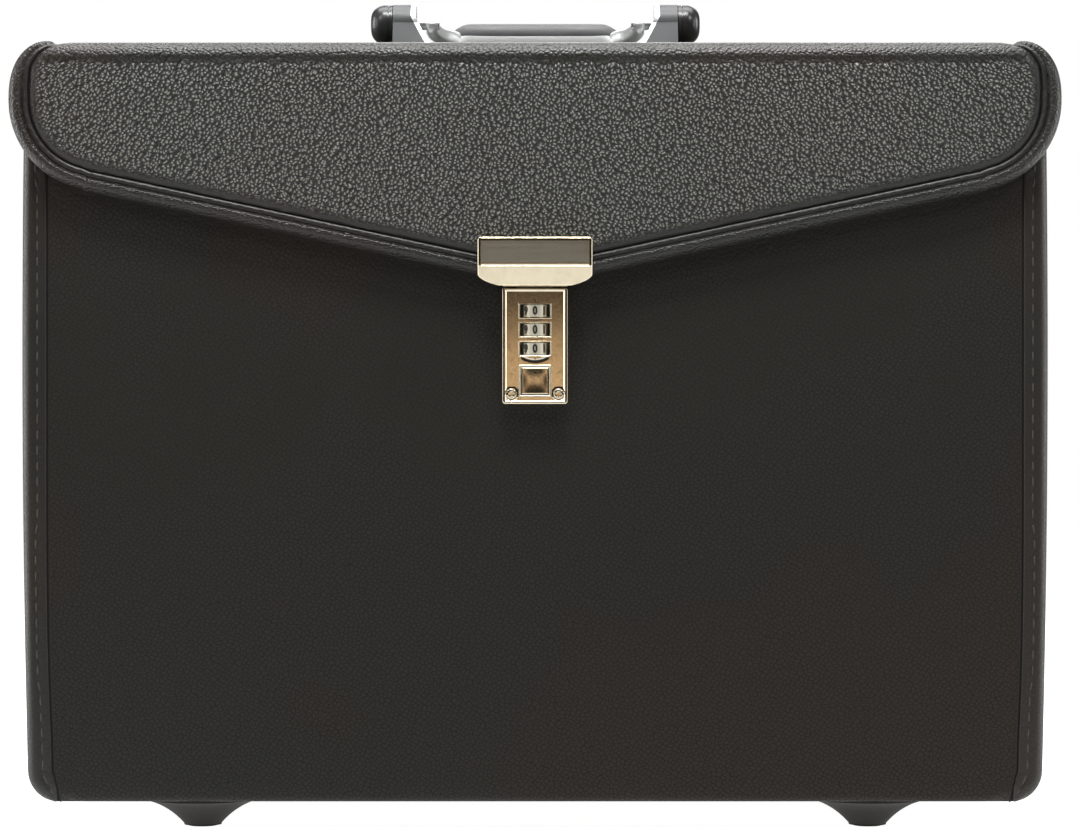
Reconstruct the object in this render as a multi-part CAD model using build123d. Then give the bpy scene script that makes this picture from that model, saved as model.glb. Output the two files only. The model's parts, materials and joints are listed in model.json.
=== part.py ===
"""Leather briefcase of the box kind (a pilot or catalogue case).

A stiff box of boards covered in grained leather, with a full-depth lid that is
hinged along the back, a pointed front flap, a combination lock and a carry
handle that swings on top of the lid.

Millimetres, X = width, +Y = back, +Z = up. The origin is on the ground, under
the middle of the case. Depths measured forward of the body's front face are
called "proud" and turned into Y by front().
"""
from build123d import *
import math
import os

# ---------------------------------------------------------------- driving sizes
BODY_HALF_WIDTH = 228.0
BODY_DEPTH = 200.0
BODY_BOTTOM = 14.0            # the feet lift the body this far
RIM_TOP = 340.0
LID_TOP = 352.0
LID_HALF_WIDTH = 233.4

LEATHER = 1.5
BOARD = 5.0
LINING = 1.0
BOTTOM_CORNER = 14.0          # front-view radius of the body's bottom corners
EDGE_ROUND = 4.5              # rounding between front or back and the sides
RIM_BINDING_HEIGHT = 14.0
SIDE_SEAM_X = 217.0           # where the side leather laps onto the front

FLAP_PROUD = 9.0              # outer face of the flap
FLAP_GAP = 0.5                # between the flap's lining and the body
HASP_PROUD = 13.5
KNUCKLE_RADIUS = 3.0
PIN_RADIUS = 1.25
RUNNING = 0.05                # radial clearance of every pin that turns

FRONT_Y = (HASP_PROUD - 2 * KNUCKLE_RADIUS - BODY_DEPTH) / 2
BACK_Y = FRONT_Y + BODY_DEPTH
MID_Y = (FRONT_Y + BACK_Y) / 2
HINGE_Z = RIM_TOP + 0.5


# ---------------------------------------------------------------- small helpers
def front(proud):
    """Y of a place that stands proud of the body's front face by this much."""
    return FRONT_Y - proud


def block(x0, x1, y0, y1, z0, z1):
    """An upright box between two corners."""
    centre = Pos((x0 + x1) / 2, (y0 + y1) / 2, (z0 + z1) / 2)
    return centre * Box(abs(x1 - x0), abs(y1 - y0), abs(z1 - z0))


def along_y(outline, y0, y1):
    """Extrude an outline drawn in (x, z) from y0 to y1."""
    plane = Plane(origin=(0, y1, 0), x_dir=(1, 0, 0), z_dir=(0, -1, 0))
    return extrude(plane * outline, amount=y1 - y0)


def along_x(outline, x0, x1):
    """Extrude an outline drawn in (y, z) from x0 to x1."""
    plane = Plane(origin=(x0, 0, 0), x_dir=(0, 1, 0), z_dir=(1, 0, 0))
    return extrude(plane * outline, amount=x1 - x0)


def rod_x(radius, x0, x1, y, z):
    """A round bar along X."""
    return Pos((x0 + x1) / 2, y, z) * Rot(0, 90, 0) * Cylinder(radius, abs(x1 - x0))


def rod_y(radius, y0, y1, x, z):
    """A round bar along Y."""
    return Pos(x, (y0 + y1) / 2, z) * Rot(90, 0, 0) * Cylinder(radius, abs(y1 - y0))


def rod_z(radius, z0, z1, x, y):
    """A round bar along Z."""
    return Pos(x, y, (z0 + z1) / 2) * Cylinder(radius, abs(z1 - z0))


def group(parts):
    """Separate solids that share one node."""
    return Compound(children=[piece for part in parts for piece in part.solids()])


def save(name, shape):
    export_step(shape, f"parts/{name}.step")


def mirrored(shape):
    """The same piece on the other side of the case."""
    return mirror(shape, about=Plane.YZ)


# ---------------------------------------------------------------- body envelope
def body_envelope(inset, top):
    """The body's outside, moved inward by inset, as one solid up to top."""
    half = BODY_HALF_WIDTH - inset
    low = BODY_BOTTOM + inset
    outline = Pos(0, (low + top) / 2) * Rectangle(2 * half, top - low)
    corners = outline.vertices().sort_by(Axis.Y)[:2]
    outline = fillet(corners, BOTTOM_CORNER - inset)
    solid = along_y(outline, FRONT_Y + inset, BACK_Y - inset)
    faces = solid.faces().sort_by(Axis.Y)
    edges = faces[0].edges() + faces[-1].edges()
    rounded = [edge for edge in edges if edge.center().Z < top - 1]
    return fillet(rounded, EDGE_ROUND - inset)


# ---------------------------------------------------------------- lock geometry
LOCK_HALF_WIDTH = 14.45
LOCK_BOTTOM = 191.2
LOCK_TOP = 242.8
LOCK_PROUD = 7.0
LOCK_RIM = 0.6                # how far the rim stands above the face
LOCK_RIM_WIDTH = 1.6
LOCK_CORNER = 1.3
LOCK_WALL = 1.3
LOCK_FACE = 1.5               # thickness of the face
SCREW_BOSS_RADIUS = 2.6
CASE_HALF_WIDTH = 12.0
CASE_BOTTOM = 194.0
CASE_TOP = 241.2
CASE_BACK = -15.0             # how far the mechanism reaches behind the front
BODY_SKIN = LEATHER + BOARD + LINING
BACKPLATE = 1.2
BACKPLATE_HALF_WIDTH = 16.0
BACKPLATE_MARGIN = 5.0        # above and below the mechanism's opening

DIAL_HEIGHTS = {"dial_top": 232.4, "dial_middle": 224.0, "dial_bottom": 215.6}
DIAL_RADIUS = 6.9
DIAL_THICKNESS = 5.2
DIAL_PROUD = 0.5              # of the dials' axis
WINDOW = (13.4, 5.8)
SPINDLE_RADIUS = 1.5
SHELF = 1.2
UPPER_SHELF_Z = 235.6
LOWER_SHELF_Z = 208.4

BUTTON_Z = 201.4
BUTTON_SIZE = 12.0
BUTTON_FRAME = 14.4
BUTTON_CLEARANCE = 0.25
BUTTON_TRAVEL = 2.5
STEM_RADIUS = 2.0
SPRING_SEAT = -5.0
LATCH_PROUD = -8.8            # front of the latch plate
LATCH_THICKNESS = 1.2
LATCH_HALF_WIDTH = 4.0
LATCH_TOP_GAP = 1.3           # below the top of the lock's case
NOSE_HALF_WIDTH = 3.5
NOSE_HEIGHT = 1.0
NOSE_RISE = 1.7               # of the nose above the tongue's lower end
SCREW_X = 10.4
SCREW_Z = 195.6
SCREW_HEAD_RADIUS = 2.2
SCREW_RADIUS = 1.25

TONGUE_HALF_WIDTH = 8.0
TONGUE_PROUD = 1.0            # its back face
TONGUE_THICKNESS = 1.5
TONGUE_BOTTOM = 237.4
TONGUE_TOP = 261.0


def lock_opening():
    """The hole through the front panel that the lock's mechanism sits in."""
    return block(
        -CASE_HALF_WIDTH, CASE_HALF_WIDTH,
        front(0), front(-BODY_SKIN) + 1, CASE_BOTTOM, CASE_TOP,
    )


def screw_shanks(radius=SCREW_RADIUS):
    """The two lock screws' shanks, from the face plate to the plate inside."""
    back = front(-BODY_SKIN - BACKPLATE)
    return [rod_y(radius, front(LOCK_PROUD), back, x, SCREW_Z) for x in (-SCREW_X, SCREW_X)]


# ---------------------------------------------------------------- box of the body
def body_boards():
    """The stiff boards: front, back, two sides, bottom and two corner bends."""
    inset = LEATHER
    top = RIM_TOP - LEATHER
    core = body_envelope(inset, top)
    inner_x = BODY_HALF_WIDTH - inset - BOARD
    inner_front = FRONT_Y + inset + BOARD
    inner_back = BACK_Y - inset - BOARD
    floor_top = BODY_BOTTOM + inset + BOARD
    wide = BODY_HALF_WIDTH + 1
    bend = BOTTOM_CORNER + 2

    panels = {
        "front_board": core & block(-wide, wide, FRONT_Y - 1, inner_front, 0, top),
        "back_board": core & block(-wide, wide, inner_back, BACK_Y + 1, 0, top),
    }
    ring = core & block(-wide, wide, inner_front, inner_back, 0, top)
    ring -= block(-inner_x, inner_x, inner_front, inner_back, floor_top, top + 1)
    bend_x = BODY_HALF_WIDTH - bend
    bend_z = BODY_BOTTOM + bend
    panels["bottom_board"] = ring & block(-bend_x, bend_x, inner_front, inner_back, 0, floor_top)
    side = ring & block(bend_x, wide, inner_front, inner_back, bend_z, top)
    corner = ring & block(bend_x, wide, inner_front, inner_back, 0, bend_z)
    panels["side_board_right"] = side
    panels["side_board_left"] = mirrored(side)
    panels["corner_bend_right"] = corner
    panels["corner_bend_left"] = mirrored(corner)

    panels["front_board"] -= lock_opening()
    for shank in screw_shanks():
        panels["front_board"] -= shank
    for screw in foot_screws():
        panels["bottom_board"] -= screw
    for rivet in hinge_rivets(BODY_LEAF_RIVET_Z):
        panels["back_board"] -= rivet
    return panels


def body_leather():
    """Outer leather: one wrap over front, bottom and back, and two side panels."""
    top = RIM_TOP - RIM_BINDING_HEIGHT
    shell = body_envelope(0, top) - body_envelope(LEATHER, top)
    shell -= lock_opening()
    for cutter in screw_shanks() + foot_screws() + hinge_rivets(BODY_LEAF_RIVET_Z):
        shell -= cutter
    wide = BODY_HALF_WIDTH + 1
    wrap = shell & block(-SIDE_SEAM_X, SIDE_SEAM_X, FRONT_Y - 1, BACK_Y + 1, 0, top)
    side = shell & block(SIDE_SEAM_X, wide, FRONT_Y - 1, BACK_Y + 1, 0, top)
    return {
        "body_leather": wrap,
        "side_leather_right": side,
        "side_leather_left": mirrored(side),
    }


def inner_block(inset, z0, z1):
    """The space inside the boards, made smaller by inset."""
    x = BODY_HALF_WIDTH - LEATHER - BOARD - inset
    y0 = FRONT_Y + LEATHER + BOARD + inset
    y1 = BACK_Y - LEATHER - BOARD - inset
    return block(-x, x, y0, y1, z0, z1)


def rim_binding():
    """The leather channel that caps the boards all round the mouth."""
    low = RIM_TOP - RIM_BINDING_HEIGHT
    outside = body_envelope(0, RIM_TOP) & block(-300, 300, -300, 300, low, RIM_TOP)
    boards = body_envelope(LEATHER, RIM_TOP - LEATHER) - inner_block(0, 0, RIM_TOP)
    return outside - boards - inner_block(LINING, 0, RIM_TOP + 1)


def body_lining():
    """The cloth lining of the walls and the floor."""
    floor = BODY_BOTTOM + LEATHER + BOARD
    top = RIM_TOP - RIM_BINDING_HEIGHT
    lining = inner_block(0, floor, top) - inner_block(LINING, floor + LINING, top + 1)
    lining -= lock_opening()
    for cutter in screw_shanks():
        lining -= cutter
    return lining


def floor_pad():
    """The loose padded board that lies on the floor of the case."""
    low = BODY_BOTTOM + LEATHER + BOARD + LINING
    return inner_block(LINING + 1.5, low, low + 3.0)


# ---------------------------------------------------------------- feet
FOOT_X = 151.0
FOOT_INSET = 34.0             # of the feet's centres from the front and the back
FOOT_FLANGE_RADIUS = 30.0
FOOT_FLANGE_EDGE = 1.0        # thickness of the flange at its rim
FOOT_NECK_RADIUS = 8.5
FOOT_WAIST = (15.5, 7.3)      # radius and height of a point on the bell's flank
FOOT_GROUND_GAP = 0.5         # the pad alone touches the ground
FOOT_PAD_HEIGHT = 3.0
FOOT_PAD_RADIUS = 6.5
FOOT_SCREW_RADIUS = 2.0
FOOT_SCREW_HEAD = (3.6, 2.4)  # radius and height
FOOT_PLACES = {
    "front_left": (-FOOT_X, FRONT_Y + FOOT_INSET),
    "front_right": (FOOT_X, FRONT_Y + FOOT_INSET),
    "back_left": (-FOOT_X, BACK_Y - FOOT_INSET),
    "back_right": (FOOT_X, BACK_Y - FOOT_INSET),
}


def foot():
    """A bell-shaped moulded foot over the origin, with a pocket for its pad."""
    low = FOOT_GROUND_GAP
    rim = (FOOT_FLANGE_RADIUS, BODY_BOTTOM - FOOT_FLANGE_EDGE)
    neck = (FOOT_NECK_RADIUS, 2 * low)
    outline = Polyline(
        neck, (FOOT_NECK_RADIUS, low), (0, low), (0, BODY_BOTTOM),
        (FOOT_FLANGE_RADIUS, BODY_BOTTOM), rim)
    outline += ThreePointArc(rim, FOOT_WAIST, neck)
    bell = revolve(Plane.XZ * make_face(outline), Axis.Z)
    return bell - rod_z(FOOT_PAD_RADIUS, -1, FOOT_PAD_HEIGHT, 0, 0)


def foot_screw():
    """The screw that holds one foot, its head above the pad's pocket."""
    head_radius, head_height = FOOT_SCREW_HEAD
    head_top = FOOT_PAD_HEIGHT + head_height
    shank_top = BODY_BOTTOM + LEATHER + BOARD
    head = rod_z(head_radius, FOOT_PAD_HEIGHT, head_top, 0, 0)
    return head + rod_z(FOOT_SCREW_RADIUS, head_top, shank_top, 0, 0)


def foot_screws():
    return [Pos(x, y, 0) * foot_screw() for x, y in FOOT_PLACES.values()]


def feet():
    """Four feet, and their rubber pads and screws as groups."""
    bell = foot() - foot_screw()
    pad = rod_z(FOOT_PAD_RADIUS, 0, FOOT_PAD_HEIGHT, 0, 0)
    nodes = {f"foot_{name}": Pos(x, y, 0) * bell for name, (x, y) in FOOT_PLACES.items()}
    nodes["foot_pads"] = group([Pos(x, y, 0) * pad for x, y in FOOT_PLACES.values()])
    nodes["foot_screws"] = group(foot_screws())
    return nodes


# ---------------------------------------------------------------- back hinge
LEAF = 1.0
LEAF_HALF_LENGTH = 219.0
KNUCKLE_COUNT = 13
KNUCKLE_GAP = 0.4
LEAF_ROOT = 3.4               # leaves are cut back to this far from the pin
BODY_LEAF_LOW = 318.0
LID_LEAF_HIGH = 351.0
BODY_LEAF_RIVET_Z = 322.0
LID_LEAF_RIVET_Z = 347.5
RIVET_RADIUS = 1.2
RIVET_HEAD = (2.4, 0.8)
RIVET_COUNT = 8
RIVET_GRIP = LEATHER + 3.0    # how deep a rivet reaches into the boards


def hinge_rivets(z):
    """One row of rivets through a leaf of the hinge."""
    head_radius, head_height = RIVET_HEAD
    outside = BACK_Y + LEAF
    pitch = 2 * LEAF_HALF_LENGTH / RIVET_COUNT
    rivets = []
    for index in range(RIVET_COUNT):
        x = (index - (RIVET_COUNT - 1) / 2) * pitch
        shank = rod_y(RIVET_RADIUS, BACK_Y - RIVET_GRIP, outside, x, z)
        rivets.append(shank + rod_y(head_radius, outside, outside + head_height, x, z))
    return rivets


def hinge_leaf(first, low, high, rivet_z, bore):
    """One leaf with every second knuckle, starting with knuckle first."""
    pin_y = BACK_Y + KNUCKLE_RADIUS
    pitch = 2 * LEAF_HALF_LENGTH / KNUCKLE_COUNT
    upward = low >= HINGE_Z
    plate_low = HINGE_Z + LEAF_ROOT if upward else low
    plate_high = high if upward else HINGE_Z - LEAF_ROOT
    leaf = block(-LEAF_HALF_LENGTH, LEAF_HALF_LENGTH, BACK_Y, BACK_Y + LEAF, plate_low, plate_high)
    for index in range(first, KNUCKLE_COUNT, 2):
        x0 = -LEAF_HALF_LENGTH + index * pitch + KNUCKLE_GAP / 2
        x1 = x0 + pitch - KNUCKLE_GAP
        root_end = plate_low if upward else plate_high
        leaf += block(x0, x1, BACK_Y, BACK_Y + LEAF, HINGE_Z, root_end)
        leaf += rod_x(KNUCKLE_RADIUS, x0, x1, pin_y, HINGE_Z)
    leaf -= rod_x(bore, -LEAF_HALF_LENGTH - 1, LEAF_HALF_LENGTH + 1, pin_y, HINGE_Z)
    for rivet in hinge_rivets(rivet_z):
        leaf -= rivet
    return leaf


def hinge():
    """A piano hinge along the back: two leaves, the pin and two rows of rivets."""
    pin_y = BACK_Y + KNUCKLE_RADIUS
    return {
        "hinge_leaf_body": hinge_leaf(
            0, BODY_LEAF_LOW, HINGE_Z, BODY_LEAF_RIVET_Z, PIN_RADIUS),
        "hinge_leaf_lid": hinge_leaf(
            1, HINGE_Z, LID_LEAF_HIGH, LID_LEAF_RIVET_Z, PIN_RADIUS + RUNNING),
        "hinge_pin": rod_x(PIN_RADIUS, -LEAF_HALF_LENGTH, LEAF_HALF_LENGTH, pin_y, HINGE_Z),
        "hinge_rivets_body": group(hinge_rivets(BODY_LEAF_RIVET_Z)),
        "hinge_rivets_lid": group(hinge_rivets(LID_LEAF_RIVET_Z)),
    }


# ---------------------------------------------------------------- lid
FLAP_TIP_Z = 243.5
FLAP_SLOPE = 0.214            # rise of the flap's lower edge for each mm sideways
FLAP_CORNER = 40.0
FLAP_TIP_ROUND = 12.0
LID_SHOULDER = 18.0           # front-view radius of the lid's upper corners
LID_FRONT_BEND = 8.5
LID_BACK_BEND = 5.0
LIP_BOTTOM = 322.0
LIP_THICKNESS = 4.0
LID_UNDERSIDE = RIM_TOP + 1.0
LID_LINING = 0.8
LID_BOARD = 4.0
FLAP_BOARD = 3.0
EDGE_BAND_WIDTH = 9.0         # of the leather band round the lid's edges


def lid_outline(inset, low=None):
    """Front view of the lid and flap, moved inward by inset."""
    half = LID_HALF_WIDTH
    knee = FLAP_TIP_Z + FLAP_SLOPE * half
    points = [(-half, LID_TOP), (half, LID_TOP), (half, knee), (0, FLAP_TIP_Z), (-half, knee)]
    outline = make_face(Polyline(*points, close=True))
    corners = outline.vertices().sort_by(Axis.Y)
    outline = fillet(corners[-2:], LID_SHOULDER)
    corners = outline.vertices().sort_by(Axis.Y)
    outline = fillet(corners[:1], FLAP_TIP_ROUND)
    knees = [v for v in outline.vertices() if abs(v.Y - knee) < 0.5 and abs(v.X) > half - 1]
    outline = fillet(knees, FLAP_CORNER)
    if inset:
        outline = offset(outline, amount=-inset)
    if low is not None:
        outline &= Pos(0, low + 100) * Rectangle(600, 200)
    return outline


def lid_side(inset):
    """Side view of the lid's outside: bent at the front, rounder at the back."""
    y0 = front(FLAP_PROUD) + inset
    y1 = BACK_Y - inset
    top = LID_TOP - inset
    outline = Pos((y0 + y1) / 2, top / 2) * Rectangle(y1 - y0, top)
    corners = outline.vertices().sort_by(Axis.Y)[-2:].sort_by(Axis.X)
    outline = fillet(corners[:1], LID_FRONT_BEND - inset)
    corners = [v for v in outline.vertices() if v.X > y1 - 0.01 and v.Y > top - 0.01]
    return fillet(corners, LID_BACK_BEND - inset)


def lid_envelope(inset):
    """The lid's outside as a solid, moved inward by inset, without its hollow."""
    y0 = front(FLAP_PROUD) + inset
    y1 = BACK_Y - inset
    solid = along_y(lid_outline(inset), y0, front(FLAP_GAP))
    solid += along_y(lid_outline(inset, LIP_BOTTOM + inset), front(FLAP_GAP), y1)
    return solid & along_x(lid_side(inset), -LID_HALF_WIDTH, LID_HALF_WIDTH)


def lid_hollow(grow):
    """The space under the lid, made larger by grow: what the body fits into."""
    x = LID_HALF_WIDTH - LIP_THICKNESS + grow
    top = LID_UNDERSIDE + grow
    return block(-x, x, front(FLAP_GAP + grow), BACK_Y + 1, 0, top)


def flap_back_layer(thickness):
    """What lies within this distance of the flap's back face."""
    wide = LID_HALF_WIDTH + 1
    return block(-wide, wide, front(FLAP_GAP + thickness), front(FLAP_GAP), 0, LID_TOP + 1)


def lid_covering():
    """Leather, padding, boards and lining of the lid and its flap."""
    outside = lid_envelope(0)
    under_leather = lid_envelope(LEATHER)
    hollow = lid_hollow(0)
    lined = lid_hollow(LID_LINING)
    wide = LID_HALF_WIDTH + 1
    flap_front = front(FLAP_GAP)
    board_front = front(FLAP_GAP + LID_LINING + FLAP_BOARD)
    board_top = LID_UNDERSIDE + LID_LINING + LID_BOARD
    lip_x = LID_HALF_WIDTH - LIP_THICKNESS

    leather = outside - under_leather - hollow
    band_x = LID_HALF_WIDTH - EDGE_BAND_WIDTH
    middle = along_y(lid_outline(EDGE_BAND_WIDTH), front(FLAP_PROUD), BACK_Y)
    middle += block(-band_x, band_x, front(FLAP_PROUD), BACK_Y, LID_TOP - 50, LID_TOP)
    inside = under_leather - hollow
    lining = inside & (lined + flap_back_layer(LID_LINING))
    stiff = inside - lined - flap_back_layer(LID_LINING)
    flap_zone = block(-wide, wide, front(FLAP_PROUD), flap_front, 0, LID_TOP)
    flap_stiff = stiff & flap_zone
    top_stiff = stiff - flap_zone
    flap_board = flap_stiff & block(-wide, wide, board_front, flap_front, 0, board_top)
    flap_padding = flap_stiff - block(-wide, wide, board_front, flap_front, 0, board_top)
    lip_zone = block(lip_x, wide, flap_front, BACK_Y, 0, LID_UNDERSIDE)
    lip = top_stiff & lip_zone
    upper = top_stiff & block(-wide, wide, flap_front, BACK_Y, LID_UNDERSIDE, LID_TOP)
    return {
        "lid_leather": leather & middle,
        "lid_edge_band": leather - middle,
        "lid_lining": lining,
        "flap_board": flap_board,
        "flap_padding": flap_padding,
        "lid_side_board_right": lip,
        "lid_side_board_left": mirrored(lip),
        "lid_board": upper & block(-wide, wide, flap_front, BACK_Y, 0, board_top),
        "lid_padding": upper & block(-wide, wide, flap_front, BACK_Y, board_top, LID_TOP),
    }


# ---------------------------------------------------------------- hasp
HASP_HALF_WIDTH = 25.5
HASP_BOTTOM = 243.2
HASP_TOP = 265.0
HASP_TAPER_Z = 246.3          # below this the plate narrows to the lock's width
HASP_CORNER = 1.5
HASP_FOOT = 3.0               # height of the lower edge that turns under the flap
PANEL_HALF_WIDTH = 24.0
PANEL_Z = (253.4, 263.2)
PANEL_DEPTH = 0.9
PANEL_THICKNESS = 0.5
TONGUE_WINDOW = (4.0, 1.4, 3.4)  # half width, and from the tongue's end to its low and high edge
HASP_RIVET_X = (-5.5, 5.5)
HASP_RIVET_Z = 257.0


def hasp_rivets():
    """Rivets that clamp the flap between the hasp and its tongue."""
    y0 = front(FLAP_PROUD)
    y1 = front(TONGUE_PROUD + TONGUE_THICKNESS)
    return [rod_y(RIVET_RADIUS, y0, y1, x, HASP_RIVET_Z) for x in HASP_RIVET_X]


def hasp():
    """The metal plate on the flap's tip, its inlaid panel, tongue and rivets."""
    half = HASP_HALF_WIDTH
    narrow = LOCK_HALF_WIDTH + 0.5
    points = [
        (-half, HASP_TOP), (half, HASP_TOP), (half, HASP_TAPER_Z),
        (narrow, HASP_BOTTOM), (-narrow, HASP_BOTTOM), (-half, HASP_TAPER_Z),
    ]
    outline = make_face(Polyline(*points, close=True))
    outline = fillet(outline.vertices(), HASP_CORNER)
    plate = along_y(outline, front(HASP_PROUD), front(FLAP_PROUD))
    tongue_front = front(TONGUE_PROUD + TONGUE_THICKNESS)
    plate += block(
        -narrow + 2, narrow - 2, front(FLAP_PROUD), tongue_front,
        HASP_BOTTOM, HASP_BOTTOM + HASP_FOOT)
    z0, z1 = PANEL_Z
    plate -= block(
        -PANEL_HALF_WIDTH, PANEL_HALF_WIDTH,
        front(HASP_PROUD), front(HASP_PROUD - PANEL_DEPTH), z0, z1)
    panel = block(
        -PANEL_HALF_WIDTH, PANEL_HALF_WIDTH,
        front(HASP_PROUD - PANEL_DEPTH + PANEL_THICKNESS), front(HASP_PROUD - PANEL_DEPTH), z0, z1)
    tongue = block(
        -TONGUE_HALF_WIDTH, TONGUE_HALF_WIDTH,
        tongue_front, front(TONGUE_PROUD), TONGUE_BOTTOM, TONGUE_TOP)
    window_x, window_low, window_high = TONGUE_WINDOW
    tongue -= block(
        -window_x, window_x, tongue_front, front(TONGUE_PROUD),
        TONGUE_BOTTOM + window_low, TONGUE_BOTTOM + window_high)
    return {
        "hasp_plate": plate,
        "hasp_panel": panel,
        "hasp_tongue": tongue,
        "hasp_rivets": group(hasp_rivets()),
    }


def hasp_recess():
    """What the hasp's parts take out of the flap's tip."""
    half = TONGUE_HALF_WIDTH
    tongue_front = front(TONGUE_PROUD + TONGUE_THICKNESS)
    recess = block(-half, half, tongue_front, front(0), 0, TONGUE_TOP)
    recess += block(
        -LOCK_HALF_WIDTH, LOCK_HALF_WIDTH, front(FLAP_PROUD), front(0), 0, HASP_BOTTOM + HASP_FOOT)
    for rivet in hasp_rivets():
        recess += rivet
    return recess


# ---------------------------------------------------------------- lock pieces
def lock_plate():
    """The hollow face plate: raised rim, three dial windows, button frame."""
    half = LOCK_HALF_WIDTH
    face = front(LOCK_PROUD)
    outline = Pos(0, (LOCK_BOTTOM + LOCK_TOP) / 2) * Rectangle(2 * half, LOCK_TOP - LOCK_BOTTOM)
    outline = fillet(outline.vertices(), LOCK_CORNER)
    plate = along_y(outline, front(LOCK_PROUD + LOCK_RIM), front(0))
    inner = offset(outline, amount=-LOCK_RIM_WIDTH)
    plate -= along_y(inner, front(LOCK_PROUD + LOCK_RIM), face)
    plate -= block(
        -half + LOCK_WALL, half - LOCK_WALL, front(LOCK_PROUD - LOCK_FACE), front(0),
        LOCK_BOTTOM + LOCK_WALL, LOCK_TOP - LOCK_WALL)
    for x in (-SCREW_X, SCREW_X):
        plate += rod_y(SCREW_BOSS_RADIUS, front(LOCK_PROUD - LOCK_FACE), front(0), x, SCREW_Z)
    frame = BUTTON_FRAME / 2
    plate += block(
        -frame, frame, front(LOCK_PROUD + LOCK_RIM), front(LOCK_PROUD - LOCK_FACE),
        BUTTON_Z - frame, BUTTON_Z + frame)
    hole = BUTTON_SIZE / 2 + BUTTON_CLEARANCE
    plate -= block(
        -hole, hole, front(LOCK_PROUD + 1), front(0), BUTTON_Z - hole, BUTTON_Z + hole)
    width, height = WINDOW
    for z in DIAL_HEIGHTS.values():
        plate -= block(
            -width / 2, width / 2, front(LOCK_PROUD + 1), front(LOCK_PROUD - 2),
            z - height / 2, z + height / 2)
    slot = TONGUE_HALF_WIDTH + 0.8
    plate -= block(
        -slot, slot, front(LOCK_PROUD - 1.2), front(0.5), LOCK_TOP - LOCK_WALL, LOCK_TOP)
    for shank in screw_shanks():
        plate -= shank
    for head in screw_heads():
        plate -= head
    return plate


def screw_heads():
    """The lock screws' heads, let a little into the face plate."""
    low = front(LOCK_PROUD - 0.4)
    high = front(LOCK_PROUD + 0.5)
    return [rod_y(SCREW_HEAD_RADIUS, high, low, x, SCREW_Z) for x in (-SCREW_X, SCREW_X)]


def lock_screws():
    shanks = screw_shanks()
    heads = screw_heads()
    return group([shank + head for shank, head in zip(shanks, heads)])


def lock_case():
    """The mechanism's tray behind the face plate, with its shelves and spring seat."""
    half = CASE_HALF_WIDTH
    wall = 1.0
    tray = block(-half, half, front(0), front(CASE_BACK), CASE_BOTTOM, CASE_TOP)
    tray -= block(
        -half + wall, half - wall, front(0), front(CASE_BACK + wall),
        CASE_BOTTOM + wall, CASE_TOP - wall)
    shelf_back = front(LATCH_PROUD + 0.6)
    for z in (UPPER_SHELF_Z, LOWER_SHELF_Z):
        tray += block(-half + wall, half - wall, front(4), shelf_back, z, z + SHELF)
    seat = front(SPRING_SEAT)
    tray += block(-half + wall, half - wall, seat, seat + wall, CASE_BOTTOM + wall, LOWER_SHELF_Z)
    tray -= rod_y(STEM_RADIUS + 0.3, seat - 1, seat + 2, 0, BUTTON_Z)
    axis = front(DIAL_PROUD)
    tray -= rod_z(SPINDLE_RADIUS, LOWER_SHELF_Z, UPPER_SHELF_Z + SHELF, 0, axis)
    for shank in screw_shanks():
        tray -= shank
    return tray


def dial(z):
    """One number wheel: ten shallow flats with grip ribs between them."""
    disc = rod_z(DIAL_RADIUS, z - DIAL_THICKNESS / 2, z + DIAL_THICKNESS / 2, 0, 0)
    for index in range(10):
        angle = math.radians(18 + 36 * index)
        x = (DIAL_RADIUS + 0.25) * math.cos(angle)
        y = (DIAL_RADIUS + 0.25) * math.sin(angle)
        disc -= rod_z(0.7, z - DIAL_THICKNESS, z + DIAL_THICKNESS, x, y)
    disc -= rod_z(SPINDLE_RADIUS + RUNNING, z - DIAL_THICKNESS, z + DIAL_THICKNESS, 0, 0)
    return Pos(0, front(DIAL_PROUD), 0) * disc


def release_button():
    """The square push button with its stem."""
    half = BUTTON_SIZE / 2
    cap = block(
        -half, half, front(LOCK_PROUD + 0.5), front(1.0), BUTTON_Z - half, BUTTON_Z + half)
    stem = rod_y(STEM_RADIUS, front(1.0), front(LATCH_PROUD + 0.1), 0, BUTTON_Z)
    return cap + stem


def button_spring():
    """Coil spring round the button's stem, between the cap and its seat."""
    wire = 0.35
    radius = STEM_RADIUS + 1.1
    length = 1.0 - BUTTON_TRAVEL - 0.2 - SPRING_SEAT - 2 * wire
    turns = 3
    path = Helix(pitch=length / turns, height=length, radius=radius)
    section = Plane(origin=path @ 0, z_dir=path % 0) * Circle(wire)
    coil = sweep(section, path=path, is_frenet=True)
    return Pos(0, front(SPRING_SEAT + wire), BUTTON_Z) * Rot(90, 0, 0) * coil


def latch_bolt():
    """The plate that the button pushes, with the nose that catches the tongue."""
    y0 = front(LATCH_PROUD)
    half = LATCH_HALF_WIDTH
    plate = block(
        -half, half, y0, y0 + LATCH_THICKNESS, BUTTON_Z - half, CASE_TOP - LATCH_TOP_GAP)
    nose_z = TONGUE_BOTTOM + NOSE_RISE
    nose = block(
        -NOSE_HALF_WIDTH, NOSE_HALF_WIDTH, front(TONGUE_PROUD - 0.8), y0,
        nose_z, nose_z + NOSE_HEIGHT)
    return plate + nose


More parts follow.
